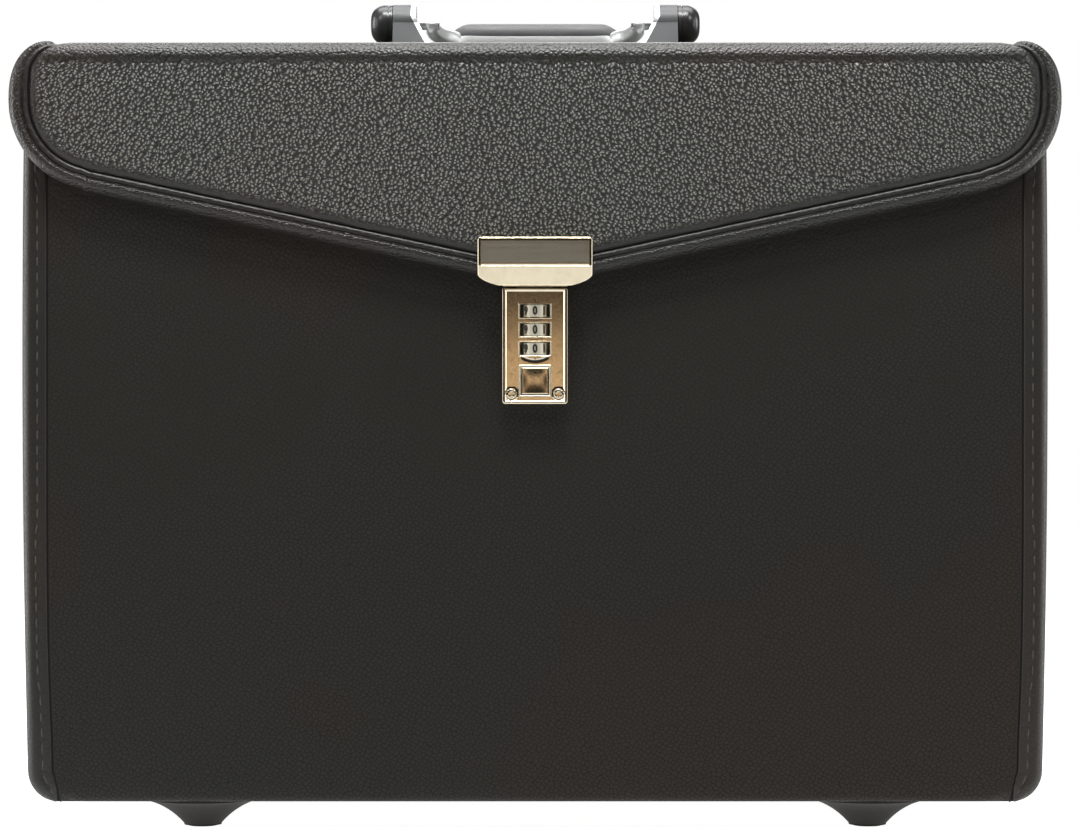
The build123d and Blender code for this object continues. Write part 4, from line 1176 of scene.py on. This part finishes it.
def build_case_boards():
    """Boards that follow the body's outline a skin's thickness inside it."""
    points, normal = body_outline()
    inner = [tuple(p) for p in points - normal * 2.6]
    upright_low, upright_high = node_box("side_board_right")
    top, foot = upright_high[2], upright_low[2]
    edge = inner + [(inner[-1][0], top)]
    short = [tuple(p) for p in points - normal * 4.2]
    plate_edge = short + [(short[-1][0], top)]
    case_low, case_high = node_box("lock_case")
    lock_gap = (case_high[0] + 0.1, case_low[2] - 0.1, case_high[2] + 0.1)
    for name, opening in (("front_board", lock_gap), ("back_board", None)):
        low, high = node_box(name)
        plate_board(name, plate_edge, low[1], high[1], opening)
    outer = [p for p in edge if p[1] >= foot]
    side = outer + [(upright_low[0], top), (upright_low[0], foot)]
    two_boards("side_board", side, upright_low[1], upright_high[1], "case")
    bend_x, _ = node_box("corner_bend_right")
    floor_top = node_box("bottom_board")[1][2]
    reach = foot - floor_top
    bend = [p for p in inner if p[0] >= bend_x[0] and p[1] <= foot]
    bend += [(bend_x[0] + reach * math.cos(t), foot - reach * math.sin(t))
             for t in np.linspace(0, math.pi / 2, 10)]
    two_boards("corner_bend", bend, upright_low[1], upright_high[1], "case")


def build_lid_boards():
    """The lid's top, side and flap boards, inside the leather's rounded shoulders."""
    points, normal = lid_outline()
    inner = (points - normal * 1.5)[::-1]
    low, high = node_box("lid_board")
    ceiling = RIM_TOP + 1.8
    upper = inner[inner[:, 1] > LIP_Z]

    def edge_between(start, stop):
        return [(float(np.interp(z, upper[:, 1], upper[:, 0])), float(z))
                for z in np.linspace(start, stop, 12)]

    board("lid_board", both_halves(edge_between(ceiling, high[2])), low[1], high[1], "lid")
    wall_low, wall_high = node_box("lid_side_board_right")
    outer = edge_between(wall_low[2], ceiling)
    side = outer + [(x - 1.2, z) for x, z in outer[::-1]]
    two_boards("lid_side_board", side, wall_low[1], wall_high[1], "lid")
    flap_low, flap_high = node_box("flap_board")
    flap = [tuple(p) for p in (points - normal * 2.4)[::-1] if p[1] < flap_high[2]]
    board("flap_board", both_halves(flap), flap_low[1], flap_high[1], "lid")


# ------------------------------------------------------------ hasp
def rounded_half(z, low, high, half, radius):
    """Half width of a rounded plate at a height."""
    edge = min(z - low, high - z)
    if edge >= radius:
        return half
    return half - radius + math.sqrt(max(radius ** 2 - (radius - edge) ** 2, 0.0))


def build_hasp():
    """The hasp's plate: rolled edges, a recessed panel and a sloping lower face."""
    low_z, high_z = hasp_low[2], hasp_high[2]
    half = hasp_high[0]
    narrow = lock_high[0] + 0.5
    taper_z = low_z + 5.2
    panel_low, panel_high = node_box("hasp_panel")
    proud_top = FRONT - hasp_low[1]
    panel_proud = proud_top - 0.9
    corner = 1.5

    def half_at(z):
        wide = rounded_half(z, low_z - 50, high_z, half, corner)
        if z < taper_z:
            share = (taper_z - z) / (taper_z - low_z)
            wide = narrow + (half - narrow) * (1 - share ** 1.9) ** 0.75
        return wide

    def proud_at(x, z, wide):
        side = wide - abs(x)
        if z < taper_z:
            side /= 1 + 1.2 * (taper_z - z) / (taper_z - low_z)
        edge = max(min(side, z - low_z, high_z - z), 0.0)
        roll = 1.1
        top = proud_top
        face_low = panel_low[2] - 1.0
        if z < face_low:
            top -= 2.6 * ((face_low - z) / (face_low - low_z)) ** 1.15
        if edge < roll:
            top -= roll * (1 - math.sqrt(1 - (1 - edge / roll) ** 2)) * 0.9
        groove = 0.35 * math.exp(-((z - face_low + 0.1) / 0.28) ** 2) * (abs(x) < half - 1.6)
        return top - groove

    marks = sorted({-1.0, 1.0} | {float(v) for v in np.sin(np.linspace(-math.pi / 2, math.pi / 2, 61))}
                   | {s * v / half for s in (-1, 1) for v in (23.95, 24.0, 24.02, 24.3, 24.8)})
    heights = sorted({low_z, high_z} | {float(z) for z in np.linspace(low_z, high_z, 60)}
                     | {low_z + d for d in (0.15, 0.35, 0.7, 1.1)}
                     | {high_z - d for d in (0.15, 0.35, 0.7, 1.1)}
                     | {panel_low[2] + d for d in (-1.6, -1.3, -1.1, -0.9, -0.7, -0.02, 0.0, 0.02)}
                     | {panel_high[2] + d for d in (-0.02, 0.0, 0.02)})
    rows = []
    for z in heights:
        wide = max(half_at(z), narrow)
        line = [(-wide, FRONT - FLAP_PROUD, z)]
        for u in marks:
            x = u * wide
            proud = proud_at(x, z, wide)
            inside = abs(x) < panel_high[0] - 0.001 and panel_low[2] < z < panel_high[2]
            line.append((x, FRONT - (panel_proud if inside else proud), z))
        line.append((wide, FRONT - FLAP_PROUD, z))
        rows.append(line)
    ends = [[(x, FRONT - FLAP_PROUD, z) for x, _, z in rows[i]] for i in (0, -1)]
    new_piece("hasp_plate_metal", [Patch([ends[0]] + rows + [ends[1]])], 30,
              "lid", GOLD, ["hasp_plate"])


# ------------------------------------------------------------ digits and marks
def text_points(body, size):
    """Outline mesh of a character, as flat points and faces, in millimetres."""
    curve = bpy.data.curves.new("digit", "FONT")
    curve.body = body
    curve.size = size
    curve.align_x = "CENTER"
    curve.align_y = "CENTER"
    curve.extrude = 0.09
    curve.offset = 0.24
    curve.resolution_u = 4
    holder = bpy.data.objects.new("digit", curve)
    bpy.context.scene.collection.objects.link(holder)
    graph = bpy.context.evaluated_depsgraph_get()
    mesh = holder.evaluated_get(graph).to_mesh()
    points = [tuple(v.co) for v in mesh.vertices]
    faces = [tuple(p.vertices) for p in mesh.polygons]
    holder.evaluated_get(graph).to_mesh_clear()
    bpy.data.objects.remove(holder)
    bpy.data.curves.remove(curve)
    return points, faces


def build_digits():
    """Ten enamel digits round each number wheel, 0 facing forward."""
    glyphs = [text_points(str(n), 5.0) for n in range(10)]
    for dial in ("dial_top", "dial_middle", "dial_bottom"):
        low, high = node_box(dial)
        centre = (low + high) / 2
        radius = (high[0] - low[0]) / 2
        verts, faces = [], []
        for number, (points, polygons) in enumerate(glyphs):
            facing = math.radians(36 * number)
            start = len(verts)
            for x, z, out in points:
                angle = facing + x * 0.82 / radius
                r = radius + out - 0.02
                verts.append((centre[0] + r * math.sin(angle), centre[1] - r * math.cos(angle),
                              centre[2] + z))
            faces.extend([tuple(start + i for i in face) for face in polygons])
            start = len(verts)
            for turn, out in ((-0.035, 0.0), (0.0, 0.07), (0.035, 0.0)):
                a = facing + math.radians(18) + turn
                for z in np.linspace(-2.3, 2.3, 4):
                    verts.append((centre[0] + (radius + out - 0.3) * math.sin(a),
                                  centre[1] - (radius + out - 0.3) * math.cos(a), centre[2] + z))
            faces.extend([tuple(start + i for i in face) for face in grid_faces(3, 4)])
        obj = make_mesh(dial + "_digits", verts, faces)
        place(obj, dial, INK)


LOCK_CORNER = 1.3
LOCK_RIM = 0.6                # how far the rim stands above the face
BUTTON_FRAME = 0.95           # width of the raised square round the button
WINDOW = (6.7, 2.9)           # half width and half height of a number window
SCREW_RADIUS = 2.2


def dial_heights():
    return [float((node_box(d)[0][2] + node_box(d)[1][2]) / 2)
            for d in ("dial_top", "dial_middle", "dial_bottom")]


def button_place():
    """Height of the button's middle and its half size."""
    low, high = node_box("release_button")
    return float((low[2] + high[2]) / 2), float((high[0] - low[0]) / 2)


def arch(distance, half, height):
    """A rounded ridge's height at a distance from its middle line."""
    if abs(distance) >= half:
        return 0.0
    return height * math.sqrt(1 - (distance / half) ** 2)


def build_lock_plate():
    """Face plate with a rolled rim, framed windows, button frame and screw bosses."""
    half, low_z, high_z = lock_high[0], lock_low[2], lock_high[2]
    face = FRONT - lock_low[1] - LOCK_RIM
    dials = dial_heights()
    button_z, button_half = button_place()
    hole_half = button_half + 0.25
    frame_middle = hole_half + BUTTON_FRAME / 2
    screws = screw_places()

    def height(x, z, wide):
        edge = max(min(wide - abs(x), z - low_z, high_z - z), 0.0)
        if edge < 0.7:
            top = LOCK_RIM - 0.45 * (1 - math.sqrt(1 - (1 - edge / 0.7) ** 2))
        else:
            top = LOCK_RIM * (1 - ease((edge - 1.1) / 0.7))
        top -= 0.18 * math.exp(-((edge - 2.0) / 0.18) ** 2)
        square = max(abs(x), abs(z - button_z)) - frame_middle
        top = max(top, arch(square, BUTTON_FRAME / 2, LOCK_RIM))
        for dial_z in dials:
            beyond = max(abs(x) - WINDOW[0], abs(z - dial_z) - WINDOW[1])
            top += arch(beyond - 0.3, 0.3, 0.2)
        for sx, sz in screws:
            top += arch(math.hypot(x - sx, z - sz) - SCREW_RADIUS - 0.35, 0.3, 0.25)
        smile = thumb_notch(x, dials[-1] - WINDOW[1])
        top -= 0.3 * math.exp(-((z - smile) / 0.35) ** 2) * (abs(x) < 5.6)
        return face + top

    near_edge = [0.0, 0.06, 0.15, 0.3, 0.5, 0.7, 1.1, 1.3, 1.5, 1.8, 2.0, 2.2]
    inner = {float(v) for v in np.arange(0, half - 2.4, 0.42)}
    inner |= {WINDOW[0] + d for d in (0.0, 0.15, 0.3, 0.45, 0.6)}
    inner |= {hole_half + d for d in (0.0, 0.1, 0.3, 0.475, 0.65, 0.85, 0.95)}
    inner = sorted(inner)
    heights = {float(v) for v in np.arange(low_z + 2.4, high_z - 2.4, 0.45)}
    heights |= {low_z + d for d in near_edge} | {high_z - d for d in near_edge}
    for dial_z in dials:
        heights |= {dial_z + s * (WINDOW[1] + d) for s in (-1, 1) for d in (0.0, 0.15, 0.3, 0.45, 0.6)}
    heights |= {button_z + s * (hole_half + d) for s in (-1, 1)
                for d in (0.0, 0.1, 0.3, 0.475, 0.65, 0.85, 0.95)}
    rows = []
    for z in sorted(heights):
        wide = rounded_half(z, low_z, high_z, half, LOCK_CORNER)
        right = inner + [wide - d for d in near_edge[::-1]]
        line = [(x, FRONT - height(x, z, wide), z) for x in [-x for x in right[:0:-1]] + right]
        rows.append([(-wide, FRONT, z)] + line + [(wide, FRONT, z)])
    ends = [[(x, FRONT, z) for x, _, z in rows[i]] for i in (0, -1)]

    def hole(x, _, z):
        if max(abs(x), abs(z - button_z)) < hole_half:
            return True
        return abs(x) < WINDOW[0] and any(abs(z - dial_z) < WINDOW[1] for dial_z in dials)

    patches = [Patch([ends[0]] + rows + [ends[1]], hole=hole)]
    for dial_z in dials:
        patches.append(hole_wall(WINDOW[0], WINDOW[1], dial_z, face, 1.5))
    patches.append(hole_wall(hole_half, hole_half, button_z, face + 0.1, 4.0))
    new_piece("lock_plate_metal", patches, 38, "case", GOLD, ["lock_plate"])


def build_button():
    """The release button: a shallow dish for the fingertip, with rolled edges.

    It keeps its full width over the CAD stem's depth.
    """
    low, high = node_box("release_button")
    middle_z, half = button_place()
    spread = [float(v) * half for v in np.sin(np.linspace(-math.pi / 2, math.pi / 2, 41))]

    def front_at(x, z):
        edge = half - max(abs(x), abs(z))
        roll = 0.6 * (1 - math.sqrt(1 - (1 - min(edge / 0.6, 1)) ** 2))
        return low[1] + roll + 0.20 * (1 - (x / half) ** 2) * (1 - (z / half) ** 2)

    rows = []
    for z in spread:
        line = [(x, front_at(x, z), middle_z + z) for x in spread]
        rows.append([(-half, high[1], middle_z + z)] + line + [(half, high[1], middle_z + z)])
    ends = [[(x, high[1], z) for x, _, z in rows[i]] for i in (0, -1)]
    corners = [[(x, high[1], middle_z + z) for x in (-half, half)] for z in (-half, half)]
    patches = [Patch([ends[0]] + rows + [ends[1]]), Patch(corners, flip=True)]
    new_piece("release_button_cap", patches, 40,
              "button", GOLD, ["release_button"])


def thumb_notch(x, below):
    """Height of the curved notch under the lowest window."""
    return below - 2.3 + 1.6 * (x / 5.6) ** 2


def hole_wall(half_x, half_z, middle_z, proud, depth):
    """The walls of a square hole, going back from the face."""
    corners = [(-half_x, -half_z), (half_x, -half_z), (half_x, half_z), (-half_x, half_z)]
    rows = []
    for back in (0.0, depth):
        rows.append([(x, FRONT - proud + back, middle_z + z) for x, z in corners])
    return Patch(rows, closed=True)


def screw_places():
    """Middles of the lock's two screws, as (x, z)."""
    _, high = node_box("lock_screws")
    z = high[2] - SCREW_RADIUS
    return [(side * (high[0] - SCREW_RADIUS), z) for side in (-1, 1)]


def build_lock_screws():
    """Domed screw heads with a star recess."""
    low, _ = node_box("lock_screws")
    verts, faces = [], []
    sides = 48
    for sx, sz in screw_places():
        rows = []
        for radius, sink in ((2.2, 0.9), (2.2, 0.35), (2.1, 0.15), (1.85, 0.04), (1.5, 0.0),
                             (1.2, 0.0), (1.08, 0.06), (0.98, 0.45), (0.5, 0.6), (0.02, 0.6)):
            line = []
            for k in range(sides):
                a = math.tau * k / sides
                inside = 1 + 0.2 * math.cos(6 * a) * (0.4 < radius < 1.3)
                line.append((sx + radius * inside * math.cos(a), low[1] + sink,
                             sz + radius * inside * math.sin(a)))
            rows.append(line)
        start = len(verts)
        verts.extend([p for line in rows for p in line])
        head = grid_faces(len(rows), sides, closed=True)
        faces.extend([tuple(start + i for i in face) for face in head])
    obj = make_mesh("lock_screw_heads", verts, faces)
    smooth(obj, 50)
    place(obj, "case", GOLD, ["lock_screws"])


def build_lock_marks():
    """Enamelled index lines beside the number windows and in the thumb notch."""
    face = lock_low[1] + LOCK_RIM
    dials = dial_heights()
    patches = []
    for z in (dials[0] + WINDOW[1] + 1.5, dials[-1] - WINDOW[1] - 1.9):
        patches.append(Patch([[(x, face - d, z + h) for h in np.linspace(-0.8, 0.8, 5)]
                              for x, d in ((-0.2, 0.0), (0.0, 0.05), (0.2, 0.0))]))
    for z in dials[:2]:
        xs = np.linspace(-3.4, 3.4, 15)
        rows = [[(x, face - d, z - WINDOW[1] - 1.25 + 0.45 * (x / 3.4) ** 2 + w) for x in xs]
                for w, d in ((-0.16, 0.0), (0.0, 0.04), (0.16, 0.0))]
        patches.append(Patch(rows))
    xs = np.linspace(-5.3, 5.3, 25)
    rows = [[(x, face + d, thumb_notch(x, dials[-1] - WINDOW[1]) + w) for x in xs]
            for w, d in ((-0.22, 0.12), (0.0, 0.2), (0.22, 0.12))]
    patches.append(Patch(rows))
    new_piece("lock_marks", patches, 60, "case", INK)


# ------------------------------------------------------------ handle
PIVOT = joint_place("handle_swing")
BOW_DROP = math.radians(7.0)
BOW_REACH = 35.0
GRIP_HALF = 44.0


def on_bow(x, reach, height):
    """From the handle's own drawing to its folded place on the lid."""
    y = PIVOT[1] + reach * math.cos(BOW_DROP) + height * math.sin(BOW_DROP)
    z = PIVOT[2] - reach * math.sin(BOW_DROP) + height * math.cos(BOW_DROP)
    return (x, y, z)


def oval(width, height, power, count):
    """Points of a rounded oval section, as (reach, height) pairs."""
    points = []
    for k in range(count):
        a = math.tau * k / count
        c, s = math.cos(a), math.sin(a)
        points.append((width / 2 * math.copysign(abs(c) ** (2 / power), c),
                       height / 2 * math.copysign(abs(s) ** (2 / power), s)))
    return points


def grip_size(x):
    """How far the grip has tapered at x, from 0 to 1, with its width and height."""
    end = 1 - ease((GRIP_HALF - abs(x)) / 13.0)
    return end, 12.5 - 5.0 * end ** 1.5, 16.6 - 7.4 * end ** 1.5


def build_grip():
    """The moulded grip with tapered ends, and the soft insert let into it."""
    rows = []
    for t in np.sin(np.linspace(-math.pi / 2, math.pi / 2, 57)):
        x = t * GRIP_HALF
        end, width, height = grip_size(x)
        rise = -1.2 * end
        rows.append([on_bow(x, BOW_REACH + a, b + rise) for a, b in oval(width, height, 2.6, 40)])
    for index in (0, -1):
        centre = np.mean(rows[index], axis=0)
        cap = [tuple(centre) for _ in rows[index]]
        if index == 0:
            rows.insert(0, cap)
        else:
            rows.append(cap)
    new_piece("handle_grip_shell", [Patch(rows, closed=True)], 60,
              "handle", SILVER, ["handle_grip"])

    rows = []
    reach = GRIP_HALF - 2.0
    for t in np.sin(np.linspace(-math.pi / 2, math.pi / 2, 49)):
        x = t * reach
        end, width, height = grip_size(x)
        edge = math.sqrt(max(1 - (abs(x) / reach) ** 8, 0.0))
        line = []
        for share in np.linspace(0, 1, 15):
            a = math.radians(100 + 76 * (0.5 + (share - 0.5) * (0.35 + 0.65 * edge)))
            lift = 0.55 * math.sin(math.pi * share) ** 0.4 * edge ** 0.5 - 0.1
            c, s = math.cos(a), math.sin(a)
            p = 2 / 2.6
            r = (width / 2 + lift) * math.copysign(abs(c) ** p, c)
            h = (height / 2 + lift) * math.copysign(abs(s) ** p, s)
            line.append(on_bow(x, BOW_REACH + r, h - 1.2 * end))
        rows.append(line)
    new_piece("grip_insert_pad", [Patch(rows, flip=False)], 60,
              "handle", INSERT_GREY, ["grip_insert"])


def build_bow():
    """The metal bow: solid ends over the pins and arms that sweep in to the bar."""
    _, high = node_box("handle_bow")
    eye_x = high[0] - 2.75
    path = [(eye_x, -4.1), (eye_x, 0.0), (eye_x, 5.0), (eye_x - 0.6, 12.0), (eye_x - 2.4, 19.0),
            (eye_x - 5.8, 26.0), (eye_x - 11.5, 32.0), (eye_x - 19.0, 34.6), (eye_x - 27.0, 35.0)]
    right = smooth_path(path, 40)
    full = np.concatenate([right, right[::-1] * (-1, 1)])
    step = np.gradient(full, axis=0)
    rows = []
    for (x, reach), (dx, dr) in zip(full, step):
        size = math.hypot(dx, dr)
        side = (dr / size, -dx / size)
        near_eye = 1 - ease((reach + 2) / 16.0)
        width = 6.8 - 1.3 * near_eye
        height = 8.4 - 0.6 * near_eye
        if reach < 0:
            height *= math.sqrt(max(1 - (reach / 4.2) ** 2, 0.0))
        rows.append([on_bow(x + side[0] * a, reach + side[1] * a, b - 0.4 * near_eye)
                     for a, b in oval(width, height, 2.4, 28)])
    for index, end in ((0, 0), (len(rows) + 1, -1)):
        centre = tuple(np.mean(rows[end], axis=0))
        rows.insert(index, [centre] * len(rows[end]))
    new_piece("handle_bow_metal", [Patch(rows, closed=True, flip=False)], 60,
              "handle", SILVER, ["handle_bow"])


def smooth_path(points, count):
    """A smooth curve through points, evenly spaced."""
    points = np.array(points, float)
    padded = np.vstack([2 * points[0] - points[1], points, 2 * points[-1] - points[-2]])
    out = []
    for i in range(1, len(padded) - 2):
        p0, p1, p2, p3 = padded[i - 1:i + 3]
        for t in np.linspace(0, 1, 12, endpoint=False):
            out.append(0.5 * (2 * p1 + (p2 - p0) * t + (2 * p0 - 5 * p1 + 4 * p2 - p3) * t ** 2
                              + (3 * p1 - p0 - 3 * p2 + p3) * t ** 3))
    out.append(points[-1])
    out = np.array(out)
    run = run_along(out)
    wanted = np.linspace(0, run[-1], count)
    return np.stack([np.interp(wanted, run, out[:, i]) for i in range(out.shape[1])], axis=1)


# ------------------------------------------------------------ stage, light and camera
FLOOR_REACH = (4000, -1400)   # to the sides and the back, and to the front
PATCH_AHEAD = 0.70            # metres from the briefcase's middle to the dim patch's
PATCH_NARROW = 0.8            # under 1 makes the patch wider than it is deep
PATCH_EDGE = (0.36, 0.66)     # metres from the patch's middle between which it brightens
GLOW = (0.34, 0.98)           # the floor's own light inside the patch and outside it


def build_stage():
    """A pale table that glows, more dimly in a patch in front of the briefcase."""
    far, near = FLOOR_REACH
    corners = [(-far, near, 0), (far, near, 0), (far, far, 0), (-far, far, 0)]
    floor = make_mesh("floor", corners, [(0, 1, 2, 3)])
    m = Nodes("pale_floor")
    cloud = m.noise(3.0, 2.0, 0.5)
    tone = m.mix(cloud, (0.38, 0.38, 0.38), (0.41, 0.41, 0.41))
    parts = m.add("ShaderNodeSeparateXYZ")
    m.tree.links.new(m.place, parts.inputs[0])
    aside = m.math("MULTIPLY", parts.outputs["X"], PATCH_NARROW)
    ahead = m.math("ADD", parts.outputs["Y"], PATCH_AHEAD)
    squares = m.math("ADD", m.math("MULTIPLY", aside, aside), m.math("MULTIPLY", ahead, ahead))
    glow = m.remap(m.math("SQRT", squares), *PATCH_EDGE, *GLOW)
    m.shader.inputs["Emission Color"].default_value = (1, 1, 1, 1)
    m.feed(m.shader, "Emission Strength", glow)
    floor.data.materials.append(m.out(tone, 0.7))


def area_light(name, at, aim, size, power, colour=(1, 1, 1)):
    data = bpy.data.lights.new(name, "AREA")
    data.shape = "RECTANGLE"
    data.size, data.size_y = size
    data.energy = power
    data.color = colour
    light = bpy.data.objects.new(name, data)
    bpy.context.scene.collection.objects.link(light)
    light.location = at
    light.rotation_euler = (Vector(aim) - Vector(at)).to_track_quat("-Z", "Y").to_euler()


def build_light():
    """A white surround for the eye, dimmer light from it, and soft boxes."""
    world = bpy.data.worlds.new("studio")
    world.use_nodes = True
    bpy.context.scene.world = world
    tree = world.node_tree
    back = tree.nodes["Background"]
    seen = tree.nodes.new("ShaderNodeBackground")
    seen.inputs["Strength"].default_value = 1.0
    seen.inputs["Color"].default_value = (1, 1, 1, 1)
    back.inputs["Color"].default_value = (1.0, 0.93, 0.82, 1)
    back.inputs["Strength"].default_value = 0.03
    path = tree.nodes.new("ShaderNodeLightPath")
    mix = tree.nodes.new("ShaderNodeMixShader")
    tree.links.new(path.outputs["Is Camera Ray"], mix.inputs["Fac"])
    tree.links.new(back.outputs[0], mix.inputs[1])
    tree.links.new(seen.outputs[0], mix.inputs[2])
    tree.links.new(mix.outputs[0], tree.nodes["World Output"].inputs["Surface"])
    centre = (0, 0, 0.3)
    area_light("overhead", (0, 0.25, 1.7), (0, 0.1, 0.3), (1.8, 0.8), 32)
    area_light("front_top", (0, -0.62, 1.6), centre, (0.55, 0.3), 23)
    area_light("key_left", (-0.85, -1.0, 1.25), centre, (0.3, 0.3), 5.5)
    area_light("key_right", (0.85, -1.0, 1.25), centre, (0.3, 0.3), 5.5)
    area_light("left", (-1.5, -0.45, 0.45), centre, (0.35, 1.1), 7)
    area_light("right", (1.5, -0.45, 0.45), centre, (0.35, 1.1), 5)
    area_light("left_edge", (-1.5, 0.3, 0.45), centre, (0.35, 1.1), 14)
    area_light("right_edge", (1.5, 0.3, 0.45), centre, (0.35, 1.1), 10)
    area_light("rear", (0, 1.8, 1.3), centre, (1.6, 0.8), 16)
    area_light("warm_card", (0, -1.75, 0.205), (0, 0, 0.205), (0.24, 0.11), 0.075, (1, 0.70, 0.44))


CAMERA_DISTANCE = 1500.0
CAMERA_X = 2.2
CAMERA_Z = 187.0
FRAME_WIDTH = 480.2           # what the picture spans at the body's front


def build_camera():
    data = bpy.data.cameras.new("camera")
    data.sensor_fit = "HORIZONTAL"
    data.sensor_width = 36.0
    data.lens = 36.0 * CAMERA_DISTANCE / FRAME_WIDTH
    data.clip_end = 50
    camera = bpy.data.objects.new("camera", data)
    bpy.context.scene.collection.objects.link(camera)
    camera.location = (CAMERA_X * MM, (FRONT - CAMERA_DISTANCE) * MM, CAMERA_Z * MM)
    camera.rotation_euler = (math.pi / 2, 0, 0)
    bpy.context.scene.camera = camera
    bpy.context.scene.view_settings.view_transform = "Standard"


# ------------------------------------------------------------ CAD nodes that stay
CAD_LOOKS = {
    "foot_pads": PAD_RUBBER,
    "hasp_tongue": STEEL,
    "hasp_rivets": STEEL,
    "hasp_panel": GOLD_SATIN,
    "dial_top": DIAL_BRASS,
    "dial_middle": DIAL_BRASS,
    "dial_bottom": DIAL_BRASS,
    "handle_cap_left": GLOSS_BLACK,
    "handle_cap_right": GLOSS_BLACK,
    "handle_bracket_left": BRACKET_GREY,
    "handle_bracket_right": BRACKET_GREY,
    "bracket_trim_left": SILVER,
    "bracket_trim_right": SILVER,
}
SOFT_EDGES = {
    "hasp_panel": 0.15,
    "handle_bracket_left": 0.7,
    "handle_bracket_right": 0.7,
    "bracket_trim_left": 0.4,
    "bracket_trim_right": 0.4,
}


def look_of(name):
    """The material of a CAD node that keeps its shape."""
    if name in CAD_LOOKS:
        return CAD_LOOKS[name]
    if name.startswith("hinge"):
        return NICKEL
    if name.startswith("foot_") and "screw" not in name:
        return MATTE_BLACK
    if "board" in name or "bend" in name:
        return BOARD
    return STEEL


def dress_cad():
    for name, obj in frame["nodes"].items():
        material = look_of(name)
        obj.data.materials.clear()
        obj.data.materials.append(material)
        obj.data.polygons.foreach_set("material_index", [0] * len(obj.data.polygons))
        smooth(obj, 32)
        if name in SOFT_EDGES:
            soften_edges(obj, SOFT_EDGES[name])


build_camera()
build_light()
build_stage()
dress_cad()
build_lid()
build_lid_stitches()
build_body()
build_rim()
build_body_lining()
build_lid_lining()
build_floor_pad()
build_case_boards()
build_lid_boards()
build_hasp()
build_digits()
build_lock_plate()
build_lock_screws()
build_button()
build_lock_marks()
build_grip()
build_bow()
